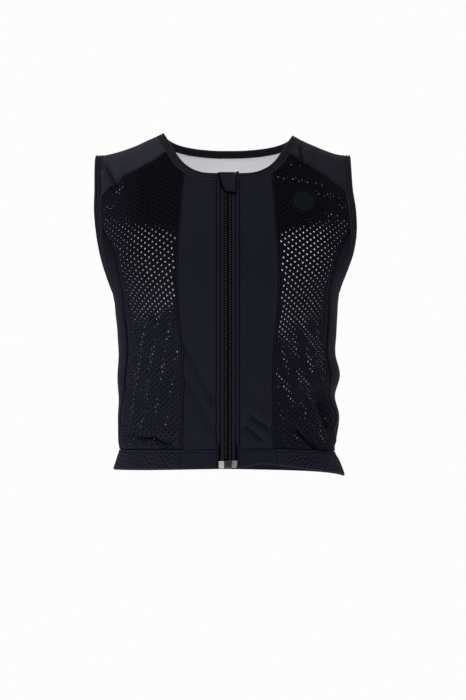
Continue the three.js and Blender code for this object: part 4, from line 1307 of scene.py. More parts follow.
class Side:
    """The edges, junctions and seams of one side of the vest."""

    def __init__(self, side):
        self.side = side
        self.neck = neck_edge(side)
        self.arm = armhole_edge(side)
        neck = self.neck
        arm = self.arm

        def seam_across(step):
            return base_point(neck.seam(step))[..., 0] * side

        def past_princess(step):
            spots = neck.seam(step)
            return spots.angle - princess_spot(side, spots.level).angle

        def above_yoke(edge):
            def value(step):
                spots = edge.seam(step)
                point = base_point(spots)
                share = np.abs(point[..., 0]) / (shoulder_half_width * shoulder_share[side])
                drop = np.where(spots.front, yoke_seam_front(share), yoke_seam_back(share))
                return point[..., 2] + armhole_height * drop

            return value

        def beside_seam(table):
            def value(step):
                spots = arm.seam(step)
                point = base_point(spots)
                share = np.abs(point[..., 0]) / edge_half_width(side, spots.level)
                return share - table(rise_share(point[..., 2]))

            return value

        self.neck_start = crossing(0, 0.9, lambda step: seam_across(step) - zip_half_width)
        self.neck_princess = crossing(self.neck_start, 0.95, past_princess)
        self.neck_yoke_front = crossing(self.neck_princess, 1, above_yoke(neck))
        self.neck_yoke_back = crossing(1.02, 1.95, above_yoke(neck))
        self.arm_yoke_front = crossing(0.3, 1, above_yoke(arm))
        self.arm_yoke_back = crossing(1, 1.7, above_yoke(arm))
        self.arm_side_front = crossing(0.05, self.arm_yoke_front, beside_seam(side_seam_front))
        self.arm_side_back = crossing(self.arm_yoke_back, 1.95, beside_seam(side_seam_back))

    def zip_edge(self, share):
        top = self.neck.seam(self.neck_start).level
        return beside_zip(self.side, mix(hem_level, top, share))

    def princess(self, share, beyond=0):
        top = self.neck.seam(self.neck_princess).level
        return princess_spot(self.side, mix(hem_level, top, share), beyond)

    def neck_run(self, start, end):
        return lambda share: self.neck.seam(mix(start, end, share))

    def arm_run(self, start, end):
        def edge(share):
            step = mix(start, end, share)
            return self.arm.seam(np.where(step < 0, step + 2, step))

        return edge

    def side_run(self, front):
        step = self.arm_side_front if front else self.arm_side_back
        table = side_seam_front if front else side_seam_back
        top = self.arm.seam(step)

        def edge(share):
            spots = seam_spot(front, self.side, table, mix(hem_level, top.level, share))
            at_top = share > 1 - 1e-9
            return Spots(front, self.side, np.where(at_top, top.angle, spots.angle), spots.level)

        return edge

    def yoke_run(self, front, beyond=0):
        neck_spot = self.neck.seam(self.neck_yoke_front if front else self.neck_yoke_back)
        arm_spot = self.arm.seam(self.arm_yoke_front if front else self.arm_yoke_back)
        start = base_point(neck_spot)[..., 0] * self.side
        end = base_point(arm_spot)[..., 0] * self.side

        def edge(share):
            ends = np.minimum(1, 12 * np.minimum(share, 1 - share))
            spots = yoke_spot(front, self.side, mix(start, end, share), beyond * ends)
            for at_end, pin in ((share < 1e-9, neck_spot), (share > 1 - 1e-9, arm_spot)):
                spots = spots.but(
                    angle=np.where(at_end, pin.angle, spots.angle),
                    level=np.where(at_end, pin.level, spots.level),
                )
            return spots

        return edge


parts = {side: Side(side) for side in sides}


def value_at(edge, at):
    """An edge's value, from a plain number or from a function."""
    return edge(at) if callable(edge) else np.full(np.shape(at), float(edge))


def hem_run(chart, start, end, level=hem_level):
    """An edge at one level between two turns."""
    def edge(share):
        return chart.spots(np.stack([mix(start, end, share), np.full(np.shape(share), level)], -1))

    return edge


def hem_turn(front, side):
    """How far round a side seam meets the hem."""
    table = side_seam_front if front else side_seam_back
    return RingChart().flatten(seam_spot(front, side, table, np.array([hem_level])))[0, 0]


# Front panels beside the zip
def front_panel(side):
    name = sides[side]
    part = parts[side]
    hem_start = beside_zip(side, hem_level).angle
    hem_end = princess_spot(side, hem_level, seam_overlap).angle
    spots = fill_patch(
        FlatChart(True), rim_shares(54, 26), rim_shares(400, 130),
        hem_run(TurnChart(side), hem_start, hem_end),
        lambda share: part.princess(share, seam_overlap),
        part.neck_run(part.neck_start, part.neck_princess),
        part.zip_edge,
    )

    def edge_lift(panel):
        from_zip, from_seam = panel.rims[:2]
        sunk = groove(from_seam) + groove(from_zip, 0.3, 0.8, 0.8) * (from_zip > 0)
        return seam_ridge(from_seam, 1.1), sunk

    panel = Panel(spots, cloth_thickness, 1 + side, edge_lift, waves=0.4)
    rows = panel.lines(columns=[-1 - topstitch])
    panel.sew_sheet(f"front_panel_{name}", stretch, rows)


# Mesh panels over the chest and ribs: an outer and an inner layer of perforated mesh
def mesh_outline(part):
    side = part.side

    def shares(count):
        return np.linspace(0, 1, count, endpoint=False)

    hem_start = princess_spot(side, hem_level).angle
    hem_end = seam_spot(True, side, side_seam_front, np.array(hem_level)).angle
    return join_spots([
        hem_run(TurnChart(side), hem_start, hem_end)(shares(50)),
        part.side_run(True)(shares(100)),
        part.arm_run(part.arm_side_front, part.arm_yoke_front)(shares(60)),
        part.yoke_run(True)(1 - shares(60)),
        part.neck_run(part.neck_yoke_front, part.neck_princess)(shares(20)),
        part.princess(1 - shares(150)),
    ])


def inside_outline(points, outline):
    """Which points lie inside a closed outline, and how far each is from it."""
    inside = np.zeros(len(points), bool)
    near = np.full(len(points), np.inf)
    for a, b in zip(outline, np.roll(outline, -1, axis=0)):
        run = b - a
        crosses = (a[1] > points[:, 1]) != (b[1] > points[:, 1])
        if crosses.any():
            at = a[0] + (points[:, 1] - a[1]) / (run[1] or 1e-9) * run[0]
            inside ^= crosses & (points[:, 0] < at)
        share = np.clip((points - a) @ run / max(run @ run, 1e-12), 0, 1)
        near = np.minimum(near, np.linalg.norm(points - a - share[:, None] * run, axis=1))
    return inside, near


def stretch_at(up):
    """How far the worn mesh is stretched round the body at a height, most over the chest."""
    return 1 + chest_stretch * np.exp(-(((up - chest_height) / chest_reach) ** 2))


def hole_lattice(outline):
    """Centres and half sizes of a staggered lattice of holes that covers an outline."""
    low, high = outline.min(0), outline.max(0)
    spare = int(hole_lean * high[1] / hole_column_pitch) + 2
    columns = np.arange(-spare, int((high[0] - low[0]) / hole_column_pitch) + spare)
    rows = np.arange(-1, int(high[1] / hole_row_pitch) + 2)
    column, row = np.meshgrid(columns, rows)
    resting = (row + 0.5 * (column % 2)) * hole_row_pitch
    stretched = smooth_step(chest_height - chest_reach, chest_height + chest_reach, resting)
    up = resting + chest_rise * stretched
    stretch = stretch_at(up)
    across = low[0] + (column + 0.5) * hole_column_pitch * stretch + hole_lean * (up - chest_height)
    centres = np.stack([across, up], -1).reshape(-1, 2)
    sizes = np.stack([hole_half_width * stretch, np.full(up.shape, hole_half_height)], -1).reshape(-1, 2)
    return centres, sizes


def inset_line(outline, distance):
    """Points a little inside a closed outline."""
    ahead = unit(np.roll(outline, -1, axis=0) - np.roll(outline, 1, axis=0))
    inward = np.stack([-ahead[:, 1], ahead[:, 0]], -1)
    after = np.roll(outline, -1, axis=0)
    turning = (outline[:, 0] * after[:, 1] - outline[:, 1] * after[:, 0]).sum()
    moved = outline + inward * distance * np.sign(turning)
    within, near = inside_outline(moved, outline)
    return moved[within & (near > 0.9 * distance)]


def perforated(outline, centres, sizes):
    """The points and triangles of a flat sheet with oval holes."""
    inside, near = inside_outline(centres, outline)
    kept = inside & (near > hole_margin)
    centres = centres[kept]
    sizes = sizes[kept]
    turns = (np.arange(hole_sides) + 0.5) / hole_sides * 2 * np.pi
    ring = np.stack([np.cos(turns), np.sin(turns)], -1)
    holes = centres[:, None] + ring[None] * sizes[:, None]
    border = len(outline)
    inset = inset_line(outline, rim_dip_reach)
    points = np.concatenate([outline, holes.reshape(-1, 2), inset])
    hole_ids = np.repeat(np.arange(len(centres)), hole_sides)
    owner = np.concatenate([np.full(border, -1), hole_ids, np.full(len(inset), -1)])
    edges = [(i, (i + 1) % border) for i in range(border)]
    first = border + np.arange(len(centres)) * hole_sides
    for i in range(hole_sides):
        edges += list(zip((first + i).tolist(), (first + (i + 1) % hole_sides).tolist()))
    made = geometry.delaunay_2d_cdt([Vector(p) for p in points.tolist()], edges, [], 0, 1e-5)
    flat = np.array([tuple(p) for p in made[0]])
    triangles = np.array(made[2])
    source = np.array([ids[0] if ids else 0 for ids in made[3]])
    ids = owner[source]
    same_hole = (ids[triangles] == ids[triangles[:, :1]]).all(1) & (ids[triangles[:, 0]] >= 0)
    centroid = flat[triangles].mean(1)
    within, _ = inside_outline(centroid, outline)
    return flat, triangles[within & ~same_hole]


def open_edges(triangles):
    """The directed edges that only one triangle uses."""
    edges = np.concatenate([triangles[:, [0, 1]], triangles[:, [1, 2]], triangles[:, [2, 0]]])
    key = np.sort(edges, axis=1)
    _, first, counts = np.unique(key, axis=0, return_index=True, return_counts=True)
    return edges[first[counts == 1]]


def mesh_layer(name, side, chart, centres, sizes, low, high, outline, material, replaces):
    """One perforated layer between two lifts, thinner along its rim."""
    flat, triangles = perforated(outline, centres, sizes)
    used = np.unique(triangles)
    fresh = np.full(len(flat), -1)
    fresh[used] = np.arange(len(used))
    flat = flat[used]
    triangles = fresh[triangles]
    spots = chart.spots(flat)
    _, near = inside_outline(flat, outline)
    rim = smooth_step(0.2, rim_dip_reach, near)
    point = base_point(spots)
    waves = 0.35 * soft_waves(point[..., 0], point[..., 2], side + 3) * smooth_step(*wave_fade, near)
    formed = formed_point(spots)
    outward = outward_at(spots)
    dip = rim_dip * low * (1 - rim)
    low_lift = low - dip + waves
    high_lift = high - dip - rim_thinning * (high - low) * (1 - rim) + waves
    points = np.concatenate([
        formed + outward * low_lift[:, None],
        formed + outward * high_lift[:, None],
    ])
    count = len(flat)
    border = open_edges(triangles)
    walls = np.stack([border[:, 1], border[:, 0], border[:, 0] + count, border[:, 1] + count], -1)
    faces = [triangles[:, ::-1], triangles + count, walls]
    cloth_map = np.concatenate([flat, flat])
    piece = make_piece(name, points, faces, cloth_map, material, replaces, sharp=35)
    # Painted shade: faces close to the seam and the walls of the holes take the dark inner mesh cloth
    beside_seam = near[triangles].mean(1) < seam_shadow
    add_material(piece, inner_mesh_and_painted_shade, faces_of(piece, beside_seam, beside_seam, walls=True))


# How the two mesh layers lie on each other, by side: the heights between which the holes close
# below the chest, how fast those heights climb outwards, and over the waist how sharp the open
# streaks are and how far they open
layer_fit = {
    right: {"closing": (252, 208), "climb": -0.36, "sharpness": 4, "widest": 0.78},
    left: {"closing": (222, 164), "climb": 0.6, "sharpness": 2.2, "widest": 1.0},
}
# Places high on the chest that stay a little open, by side: height, distance beyond the inner
# seam, reach up, reach across, share open
open_places = {
    right: ((391, 80, 8, 6, 0.85), (366, 92, 3.5, 12, 0.5)),
    left: (
        (424, 22, 2.4, 16, 0.38), (402, 25, 2.6, 42, 0.42), (384, 52, 4.2, 36, 0.36),
        (365, 92, 6, 12, 0.28), (354, 70, 4, 14, 0.3),
    ),
}
# The way the inner layer drifts, where the inner seam runs, how far the layer has drifted beside
# it, how much that grows outwards, and how far it has drifted over the waist and over the chest
drift_way = np.array([0.86, 0.5])
inner_seam_across = 72
drift_beside = 0.05
drift_outwards = 0.78
drift_at_waist = 1.16
drift_at_chest = 1.22
outer_fade = (20, 86)
chest_fade = (314, 340)
streak_fade = (40, 200)


def humps(at, period, sharpness):
    """Evenly spaced humps between 0 and 1."""
    return (0.5 + 0.5 * np.sin(2 * np.pi * at / period)) ** sharpness


def streaks(across, rise, side):
    """Lines of holes over the waist that stay a little open, broken here and there."""
    fit = layer_fit[side]
    upright = humps(across + 0.15 * rise + 5 * side, 17, fit["sharpness"])
    slanting = humps(across + 0.46 * rise + 9, 33, 6)
    lines = upright if side == right else np.maximum(0.85 * upright, slanting)
    broken = 0.6 + 0.4 * np.sin(rise / 6.5 + across / 5.0)
    return lines * broken * mix(0.26, fit["widest"], smooth_step(*streak_fade, rise))


def closed_share(across, rise, side):
    """How far the layers have drifted towards closing each hole: 0 is open, 1 just closed."""
    fit = layer_fit[side]
    beyond = across - inner_seam_across
    share = drift_beside + drift_outwards * smooth_step(*outer_fade, beyond)
    waist = smooth_step(*fit["closing"], rise - fit["climb"] * beyond)
    share = mix(share, np.maximum(share, drift_at_waist - streaks(across, rise, side)), waist)
    chest = smooth_step(*chest_fade, rise - 0.26 * beyond)
    top = drift_at_chest
    for height, middle, reach_up, reach_across, opening in open_places[side]:
        up = (rise - height + 0.15 * (beyond - middle)) / reach_up
        top = top - opening * np.exp(-(up ** 2) - ((beyond - middle) / reach_across) ** 4)
    return mix(share, top, chest)


def inner_drift(chart, centres, sizes, side, random):
    """How far the inner layer's holes lie from the outer layer's."""
    point = base_point(chart.spots(centres))
    share = closed_share(np.abs(point[..., 0]), point[..., 2] - hem_height, side)
    reach = sizes * (1 + inner_hole_share)
    closing = 1 / np.linalg.norm(drift_way / reach, axis=-1)
    loose = mix(0.06, 0.13, np.clip(share, 0, 1))[:, None] * random.standard_normal(centres.shape)
    return (share * closing)[:, None] * drift_way + loose


def mesh_panel(side):
    name = sides[side]
    chart = ClothChart(side)
    outline = chart.flatten(mesh_outline(parts[side]))
    centres, hole_sizes = hole_lattice(outline)
    mesh_layer(
        f"mesh_panel_{name}_outer", side, chart, centres, hole_sizes, 1.2, mesh_thickness, outline,
        mesh_cloth[side], [f"mesh_panel_{name}"],
    )
    random = np.random.default_rng(7 + side)
    moved = centres + inner_drift(chart, centres, hole_sizes, side, random)
    mesh_layer(
        f"mesh_panel_{name}_inner", side, chart, moved, hole_sizes * inner_hole_share, 0.1, 0.8, outline,
        inner_mesh_and_painted_shade, [],
    )


# Side panels under the arms
def side_panel(side):
    part = parts[side]
    spots = fill_patch(
        RingChart(), rim_shares(95, 26), rim_shares(225, 60),
        hem_run(RingChart(), hem_turn(False, side), hem_turn(True, side)),
        part.side_run(True),
        part.arm_run(part.arm_side_back - 2, part.arm_side_front),
        part.side_run(False),
    )

    def edge_lift(panel):
        return 0.0, groove(panel.rims[0]) + groove(panel.rims[1])

    panel = Panel(spots, cloth_thickness, 4 + side, edge_lift, waves=0.6)
    rows = panel.lines(columns=both_rims)
    panel.sew_sheet(f"side_panel_{sides[side]}", shaded_side_stretch, rows)


# Yokes over the shoulders
def shoulder_yoke(side):
    name = sides[side]
    part = parts[side]
    spots = fill_patch(
        RidgeChart(side), rim_shares(90, 34), rim_shares(110, 44),
        part.yoke_run(True, seam_overlap),
        joined([0.5], [part.arm_run(part.arm_yoke_front, 1), part.arm_run(1, part.arm_yoke_back)]),
        part.yoke_run(False),
        joined([0.5], [part.neck_run(part.neck_yoke_front, 1), part.neck_run(1, part.neck_yoke_back)]),
    )

    def edge_lift(panel):
        front, back = panel.rims[2:]
        return seam_ridge(front, 1.0), groove(front, depth=0.4) + groove(back)

    panel = Panel(spots, cloth_thickness, 7 + side, edge_lift, waves=0.45)
    rows = panel.lines(rows=both_rims)
    panel.sew_sheet(f"shoulder_yoke_{name}", yoke_cloth[side], rows)


# Back panel with its foam pad
def pad_share(points):
    top = -pad_top_drop
    bottom = hem_height + pad_hem_clearance
    half_height = (top - bottom) / 2
    across = np.abs(points[..., 0]) / pad_half_width
    up = np.abs(points[..., 2] - bottom - half_height) / half_height
    reach = (across ** pad_squareness + up ** pad_squareness) ** (1 / pad_squareness)
    return smooth_step(0, pad_slope, (1 - reach) * pad_half_width)


def back_panel():
    def side_edge(part):
        return joined([16 / 22], [
            part.side_run(False),
            part.arm_run(part.arm_side_back, part.arm_yoke_back),
        ])

    yoke = 7 / 24
    neck = 5 / 24
    top = joined([yoke, yoke + neck, yoke + 2 * neck], [
        lambda share: parts[right].yoke_run(False)(1 - share),
        parts[right].neck_run(parts[right].neck_yoke_back, 2),
        parts[left].neck_run(2, parts[left].neck_yoke_back),
        parts[left].yoke_run(False),
    ])
    spots = fill_patch(
        FlatChart(False), rim_shares(340, 92), rim_shares(400, 100),
        hem_run(RingChart(), hem_turn(False, right), hem_turn(False, left)),
        side_edge(parts[left]), top, side_edge(parts[right]),
    )

    def edge_lift(panel):
        return pad_thickness * pad_share(panel.base), sum(groove(rim) for rim in panel.rims)

    panel = Panel(spots, cloth_thickness, 11, edge_lift, low=0.4, waves=0.55)
    rows = panel.lines(both_rims, both_rims)
    piece, _ = panel.sew("back_panel", stretch, rows)
    add_material(piece, lining, faces_of(piece, True, np.zeros_like(panel.shaded_valley_cells)))


# Hems
def hem_slits(panel):
    """How deep each point of a mesh hem lies in a slit, from 0 on the cloth to 1 in its middle."""
    across = panel.rims[0] / hole_column_pitch
    column = np.round(across)
    up = panel.rims[2] / slit_row_pitch + 0.5 * (column % 2) + 0.12 * np.sin(column * 2.4)
    beside = (across - column) * hole_column_pitch / slit_half_width
    along = (up - np.round(up)) * slit_row_pitch / slit_half_height
    return np.clip(1.5 * (1 - beside ** 2 - along ** 2), 0, 1) * smooth_step(1, 3.5, panel.nearest)


def hem_panel(name, chart, start, end, width, material, seed, count=None):
    """A hem band between two turns. Without a count of columns it has slits and a fine even grid."""
    if count is None:
        u = even(int(width / slit_grid))
        v = even(int(hem_band_height / slit_grid))
        stitch_row = -1 - int(hem_stitch_inset / slit_grid)
    else:
        u = rim_shares(width, count)
        v = rim_shares(hem_band_height, 7)
        stitch_row = -1 - hem_stitch

    def end_run(turn):
        def edge(share):
            level = mix(0, hem_level, share)
            return chart.spots(np.stack([value_at(turn, level), level], -1))

        return edge

    def run_at(level):
        return hem_run(chart, value_at(start, level), value_at(end, level), level)

    spots = fill_patch(chart, u, v, run_at(0), end_run(end), run_at(hem_level), end_run(start))

    def edge_lift(panel):
        sunk = groove(panel.rims[3], hem_stitch_inset, 0.6, 0.8)
        if count is None:
            sunk = sunk - slit_depth * hem_slits(panel)
        return 0.0, sunk

    panel = Panel(spots, hem_thickness, seed, edge_lift, pucker=0.45, waves=0.2)
    panel.sew_sheet(name, material, panel.lines(rows=[stitch_row], inset=2))


def front_hems(side):
    name = sides[side]
    chart = TurnChart(side)
    seam = princess_spot(side, hem_level).angle
    side_end = seam_spot(True, side, side_seam_front, np.array(hem_level)).angle

    def zip_at(level):
        return beside_zip(side, level).angle

    hem_panel(f"front_hem_{name}", chart, zip_at, seam, 50, stretch, 15 + side, count=18)
    hem_panel(f"mesh_hem_{name}", chart, seam, side_end, 120, hem_mesh, 18 + side)


def back_hem():
    start = hem_turn(True, right)
    end = hem_turn(True, left)
    hem_panel("back_hem", RingChart(), start, end, 480, stretch, 21, count=130)


# Bindings: two ridges of turned cloth with a stitched valley between them
binding_profile = [
    (11.75, 0.2), (11.9, 1.1), (11.6, 2.0), (11.0, 2.55), (9.8, 2.8), (8.8, 2.7), (8.3, 2.3),
    (7.95, 1.4), (7.6, 2.3), (7.1, 2.85), (5.9, 3.05), (4.9, 2.95), (4.45, 2.4),
    (4.1, 1.3), (3.75, 2.4), (3.3, 3.05), (2.2, 3.3), (1.0, 2.95), (0.4, 2.1), (0.12, 1.1),
    (0.1, 0.1), (0.6, -0.8), (1.8, -1.15), (5.0, -1.0), (9.0, -0.9), (11.2, -0.6),
]
valleys = (7, 13)


def binding_rings(edge, steps):
    """Rings of a binding along an edge, with their cloth coordinates and normals."""
    widths, lifts = np.array(binding_profile).T
    shape = (len(steps), len(widths))
    spots = edge.inside(np.repeat(steps, shape[1]), np.tile(widths, shape[0]))
    spots = Spots(*[getattr(spots, name).reshape(shape) for name in ("front", "side", "angle", "level")])
    run = run_along(base_point(edge.spot_on(steps)))[:, None]
    crest = lifts > 2.2
    lift = lifts + crest * (0.13 * ripple(run * 1.6, 3) + 0.1 * np.sin(run * 2.1))
    across = run_along(np.array(binding_profile))
    cloth_map = np.stack(np.broadcast_arrays(across, run), -1)
    return place(spots, lift), cloth_map, outward_at(spots)


def sew_binding(name, points, faces, cloth_map, rings, outward, stitched):
    """Make a binding with two rows of stitches."""
    piece = make_piece(f"{name}_cloth", points, faces, cloth_map, binding_cloth, [name])
    number = np.arange(len(piece.data.polygons))
    beside = [column for valley in valleys for column in (valley - 1, valley)]
    # Painted shade in the two stitched valleys of the binding
    shaded = np.isin(number % len(binding_profile), beside) & (number < len(faces[0]))
    add_material(piece, inner_mesh_and_painted_shade, shaded)
    lines = [(rings[stitched, valley], outward[stitched, valley]) for valley in valleys]
    rows = stitching(f"{name}_stitching", lines, pitch=2.8, radius=0.3)


def armhole_binding(side):
    name = sides[side]
    steps = np.linspace(0, 2, 300, endpoint=False)
    rings, cloth_map, outward = binding_rings(parts[side].arm, steps)
    faces = sweep_faces(len(steps), len(binding_profile), True)
    closed = np.concatenate([rings, rings[:1]])
    closed_outward = np.concatenate([outward, outward[:1]])
    sew_binding(
        f"armhole_binding_{name}", rings.reshape(-1, 3), faces, cloth_map.reshape(-1, 2),
        closed, closed_outward, slice(None),
    )


def neck_binding():
    (rings, cloth_map, outward), (far_rings, far_map, far_outward) = [
        binding_rings(parts[side].neck, np.linspace(parts[side].neck_start, 2, 190)) for side in sides
    ]
    rings = np.concatenate([rings, far_rings[-2::-1]])
    outward = np.concatenate([outward, far_outward[-2::-1]])
    far_map[..., 1] = cloth_map[-1, 0, 1] + far_map[-1, 0, 1] - far_map[..., 1]
    cloth_map = np.concatenate([cloth_map, far_map[-2::-1]])
    for end, fold in ((0, 1), (-1, -2)):
        rings[end] = mix(rings[end], rings[end].mean(0), 0.12)
        rings[fold] = mix(rings[fold], rings[fold].mean(0), 0.02)
    points = np.concatenate([rings.reshape(-1, 3), rings[[0, -1]].mean(1)])
    mapped = np.concatenate([cloth_map.reshape(-1, 2), cloth_map[[0, -1]].mean(1)])
    faces = sweep_faces(*rings.shape[:2], False)
    sew_binding("neck_binding", points, faces, mapped, rings, outward, slice(2, -2))


# Zip
def zip_spot(across, height):
    side = np.where(across < 0, right, left)
    return spot_at(True, side, np.abs(across), height)


zip_bottom = hem_height
zip_top = neck_edge_middle - zip_top_margin
box_top = zip_bottom + box_height
slider_bottom = zip_top - garage_height + slider_cover
tape_inner = chain_half_width - 1.4
tape_outer = welt_inner + 3.0
welt_outer = zip_half_width + 0.2
tab_bottom = zip_bottom + end_tab_margin
tab_top = tab_bottom + end_tab_height
tab_inner = chain_half_width + stack_gap
tab_outer = tab_inner + end_tab_width


def strip(name, inner, outer, bottom, top, u, v, lift, material, replaces=(), low=0.0):
    """A strip along the zip. Its edges are plain numbers or functions of the height."""
    height = mix(bottom, top, v)
    across = mix(value_at(inner, height)[:, None], value_at(outer, height)[:, None], u)
    height = np.broadcast_to(height[:, None], across.shape)
    spots = zip_spot(across, height)
    formed = formed_point(spots)
    outward = outward_at(spots)
    high = formed + outward * lift(across, height)[..., None]
    cloth_map = np.stack([across, height], -1)
    piece = sheet_piece(name, formed + outward * low, high, cloth_map, material, replaces)
    return piece, across, high, outward


def zip_tape(side):
    name = sides[side]

    def lift(across, height):
        beside = np.abs(across)
        edges = groove(beside, chain_half_width + 0.7, 0.9, 0.6) + groove(beside, welt_inner - 0.3, 0.9, 0.7)
        return stack_gap + tape_thickness + 0.4 + edges + 0.12 * ripple(height, side + 2)

    piece, across, _, _ = strip(
        f"zip_tape_{name}_cloth", side * tape_inner, side * tape_outer, zip_bottom, zip_top,
        even(26), even(200), lift, tape_cloth, [f"zip_tape_{name}"], stack_gap,
    )
    beside = cell_means(np.abs(across))
    # Painted shade in the grooves beside the chain and beside the welt
    shadow = (beside < chain_half_width + 1.1) | (beside > welt_inner - 0.7)
    add_material(piece, inner_mesh_and_painted_shade, faces_of(piece, shadow, shadow))


def zip_welt(side):
    """The folded edge of a front panel, which stands back from the tape above the end tab."""
    name = sides[side]

    def inside(height):
        opening = smooth_step(0, welt_opening, tab_top + 2 * welt_opening - height)
        return side * mix(welt_inner, tab_outer + stack_gap, opening)

    def lift(across, height):
        inner = np.abs(inside(height))
        share = np.clip((np.abs(across) - inner) / (welt_outer - inner), 0, 1)
        crown = np.sqrt(np.clip(1 - (2 * share - 1) ** 4, 0, 1))
        return 0.4 + (welt_thickness - 0.4) * crown + 0.16 * ripple(height * 1.3, side + 5)

    top = zip_top + (welt_overlap if side == left else 0)
    piece, _, high, outward = strip(
        f"zip_welt_{name}_cloth", inside, side * welt_outer, zip_bottom, top,
        even(18), even(200), lift, stretch, [f"zip_welt_{name}"],
    )
    line = high[4:-4, -3], outward[4:-4, -3]
    rows = stitching(f"zip_welt_{name}_stitching", [line], pitch=2.8, radius=0.34)


def zip_end_tab(side):
    name = sides[side]

    def lift(across, height):
        beside = np.minimum(np.abs(across) - tab_inner, tab_outer - np.abs(across))
        rise = end_tab_thickness * rounded(beside + 0.05, 0.8) + 0.15 * np.sin(height * 0.9)
        return stack_gap * 2 + tape_thickness + rise

    strip(
        f"zip_end_tab_{name}_film", side * tab_inner, side * tab_outer, tab_bottom, tab_top,
        even(14), even(14), lift, film if side == right else darker_film,
        [f"zip_end_tab_{name}"], stack_gap + tape_thickness,
    )


# Rings of a tooth, from the edge of the chain to past its middle: share along it, size
tooth_rings = [(0, 0.35), (0.08, 0.8), (0.35, 1), (0.65, 1), (0.92, 0.8), (1, 0.35)]


def zip_chain():
    """Two rows of small slanted teeth that meet in the middle, over a dark bed of painted shade."""
    bottom = box_top + stack_gap
    top = slider_bottom + 4
    count = int((top - bottom) / tooth_pitch)
    along, radius = np.array(tooth_rings).T[:, :, None]
    radius = tooth_radius * radius
    turns = (np.arange(tooth_sides) + 0.5) / tooth_sides * 2 * np.pi
    across = mix(chain_half_width - 0.1, 0.9, along)
    rise = mix(-0.75, 0.75, along) + radius * np.cos(turns)
    all_points = []
    for side in (left, right):
        first = bottom + (0 if side == left else tooth_pitch / 2)
        height = (first + (np.arange(count) + 0.5) * tooth_pitch)[:, None, None] + rise
        lift = 1.9 + np.sin(np.pi * (0.25 + 0.6 * along)) + radius * np.sin(side * turns)
        spots = zip_spot(np.broadcast_to(side * across, height.shape), height)
        all_points.append(place(spots, np.broadcast_to(lift, height.shape)).reshape(-1, 3))
    points = np.concatenate(all_points)
    faces = tube_faces(2 * count, len(tooth_rings), tooth_sides)
    make_piece("zip_chain_teeth", points, faces, points[:, [0, 2]], coil, ["zip_chain"])

    def bed_lift(across, height):
        return 0.9 - 0.3 * np.exp(-((across / 0.8) ** 2))

    # The bed is a near-black sheet of painted shade between and behind the teeth
    half = chain_half_width - 0.4
    strip(
        "zip_chain_shade_bed", -half, half, bottom - 1, top, even(11), even(120), bed_lift, inner_mesh_and_painted_shade,
        low=stack_gap,
    )


def zip_box():
    half = chain_half_width + 0.1
    rim = (0, 0.2, 0.5, 0.9, 1.4)

    def lift(across, height):
        ends = np.minimum(height - tab_bottom, box_top - height)
        beside = half - np.abs(across)
        crown = rounded(beside + 0.1, 1.3) * rounded(ends + 0.1, 1.3)
        slot = 0.7 * np.exp(-((across / 0.7) ** 2)) * smooth_step(3, 6, height - zip_bottom)
        return stack_gap + 0.4 + (box_thickness - 0.7) * crown - slot

    strip(
        "zip_box_metal", -half, half, tab_bottom, box_top, rim_shares(2 * half, 9, rim),
        rim_shares(box_height, 10, rim), lift, metal, ["zip_box"], stack_gap,
    )


def zip_garage():
    """The cloth flap folded over the top of the zip."""
    right_end = welt_inner - stack_gap
    left_end = -zip_half_width + stack_gap
    bottom = zip_top - garage_height
    rim = (0, 0.3, 0.8, 1.5, 2.2)
    u = rim_shares(26, 26, rim)
    v = rim_shares(30, 30, rim)[:, None]
    across = mix(left_end * mix(garage_low_share, 1, np.sqrt(v)), right_end, u)
    heights = mix(bottom, zip_top + 0.6, v) + (1 - u) * (1 - v) * garage_tilt
    spots = zip_spot(across, heights)
    over = stack_gap * 3 + tape_thickness + slider_thickness
    down = smooth_step(zip_top - garage_roll, zip_top, base_point(spots)[..., 2])
    lift = mix(over, welt_thickness + stack_gap, down)
    formed = formed_point(spots)
    outward = outward_at(spots)
    rims = rim_distance(formed)
    nearest = np.minimum.reduce(rims)
    crease = -0.8 * np.exp(-(((across - 2 + (heights - zip_top) * 0.35) / 1.6) ** 2))
    swell = 0.7 * np.sin((heights - zip_top) / 4.1 + across / 7)
    body = garage_thickness * (0.15 + 0.85 * rounded(nearest, 1.4))
    under = np.minimum(rims[0] / 1.3, rims[2] * 1.15)
    turned = 1 - smooth_step(garage_turn - 0.8, garage_turn, under)
    shaped = lift + (crease + swell) * smooth_step(0, 5, nearest) - garage_turn_depth * turned
    high = formed + outward * (shaped + body)[..., None]
    low = formed + outward * (shaped - 0.2)[..., None]
    cloth_map = np.stack([across, heights], -1)
    piece = sheet_piece("zip_garage_cloth", low, high, cloth_map, stretch, ["zip_garage"])
    # Painted shadow under the flap: its turned-under rim and its walls take the dark inner mesh cloth
    shadow = cell_means(turned) > 0.5
    add_material(piece, inner_mesh_and_painted_shade, faces_of(piece, shadow, shadow, walls=True))
    line = high[8:-8, 4], outward[8:-8, 4]
    rows = stitching("zip_garage_stitching", [line], pitch=2.6, radius=0.3)


# Round badge on the chest, with plain raised rings and a plain face: radius and rise of each ring
badge_profile = [
    (19.0, 0.0), (19.0, 0.5), (18.7, 0.85), (18.2, 0.95), (17.6, 0.75), (17.0, 0.7), (16.4, 0.95),
    (15.9, 1.0), (15.3, 0.8), (14.7, 0.75), (14.1, 0.8), (13.6, 1.2), (13.2, 1.7), (12.7, 1.95),
    (12.1, 2.0), (11.4, 1.8), (10.6, 1.65), (9.0, 1.62), (7.0, 1.66), (5.0, 1.7), (3.0, 1.72),
    (1.2, 1.74),
]


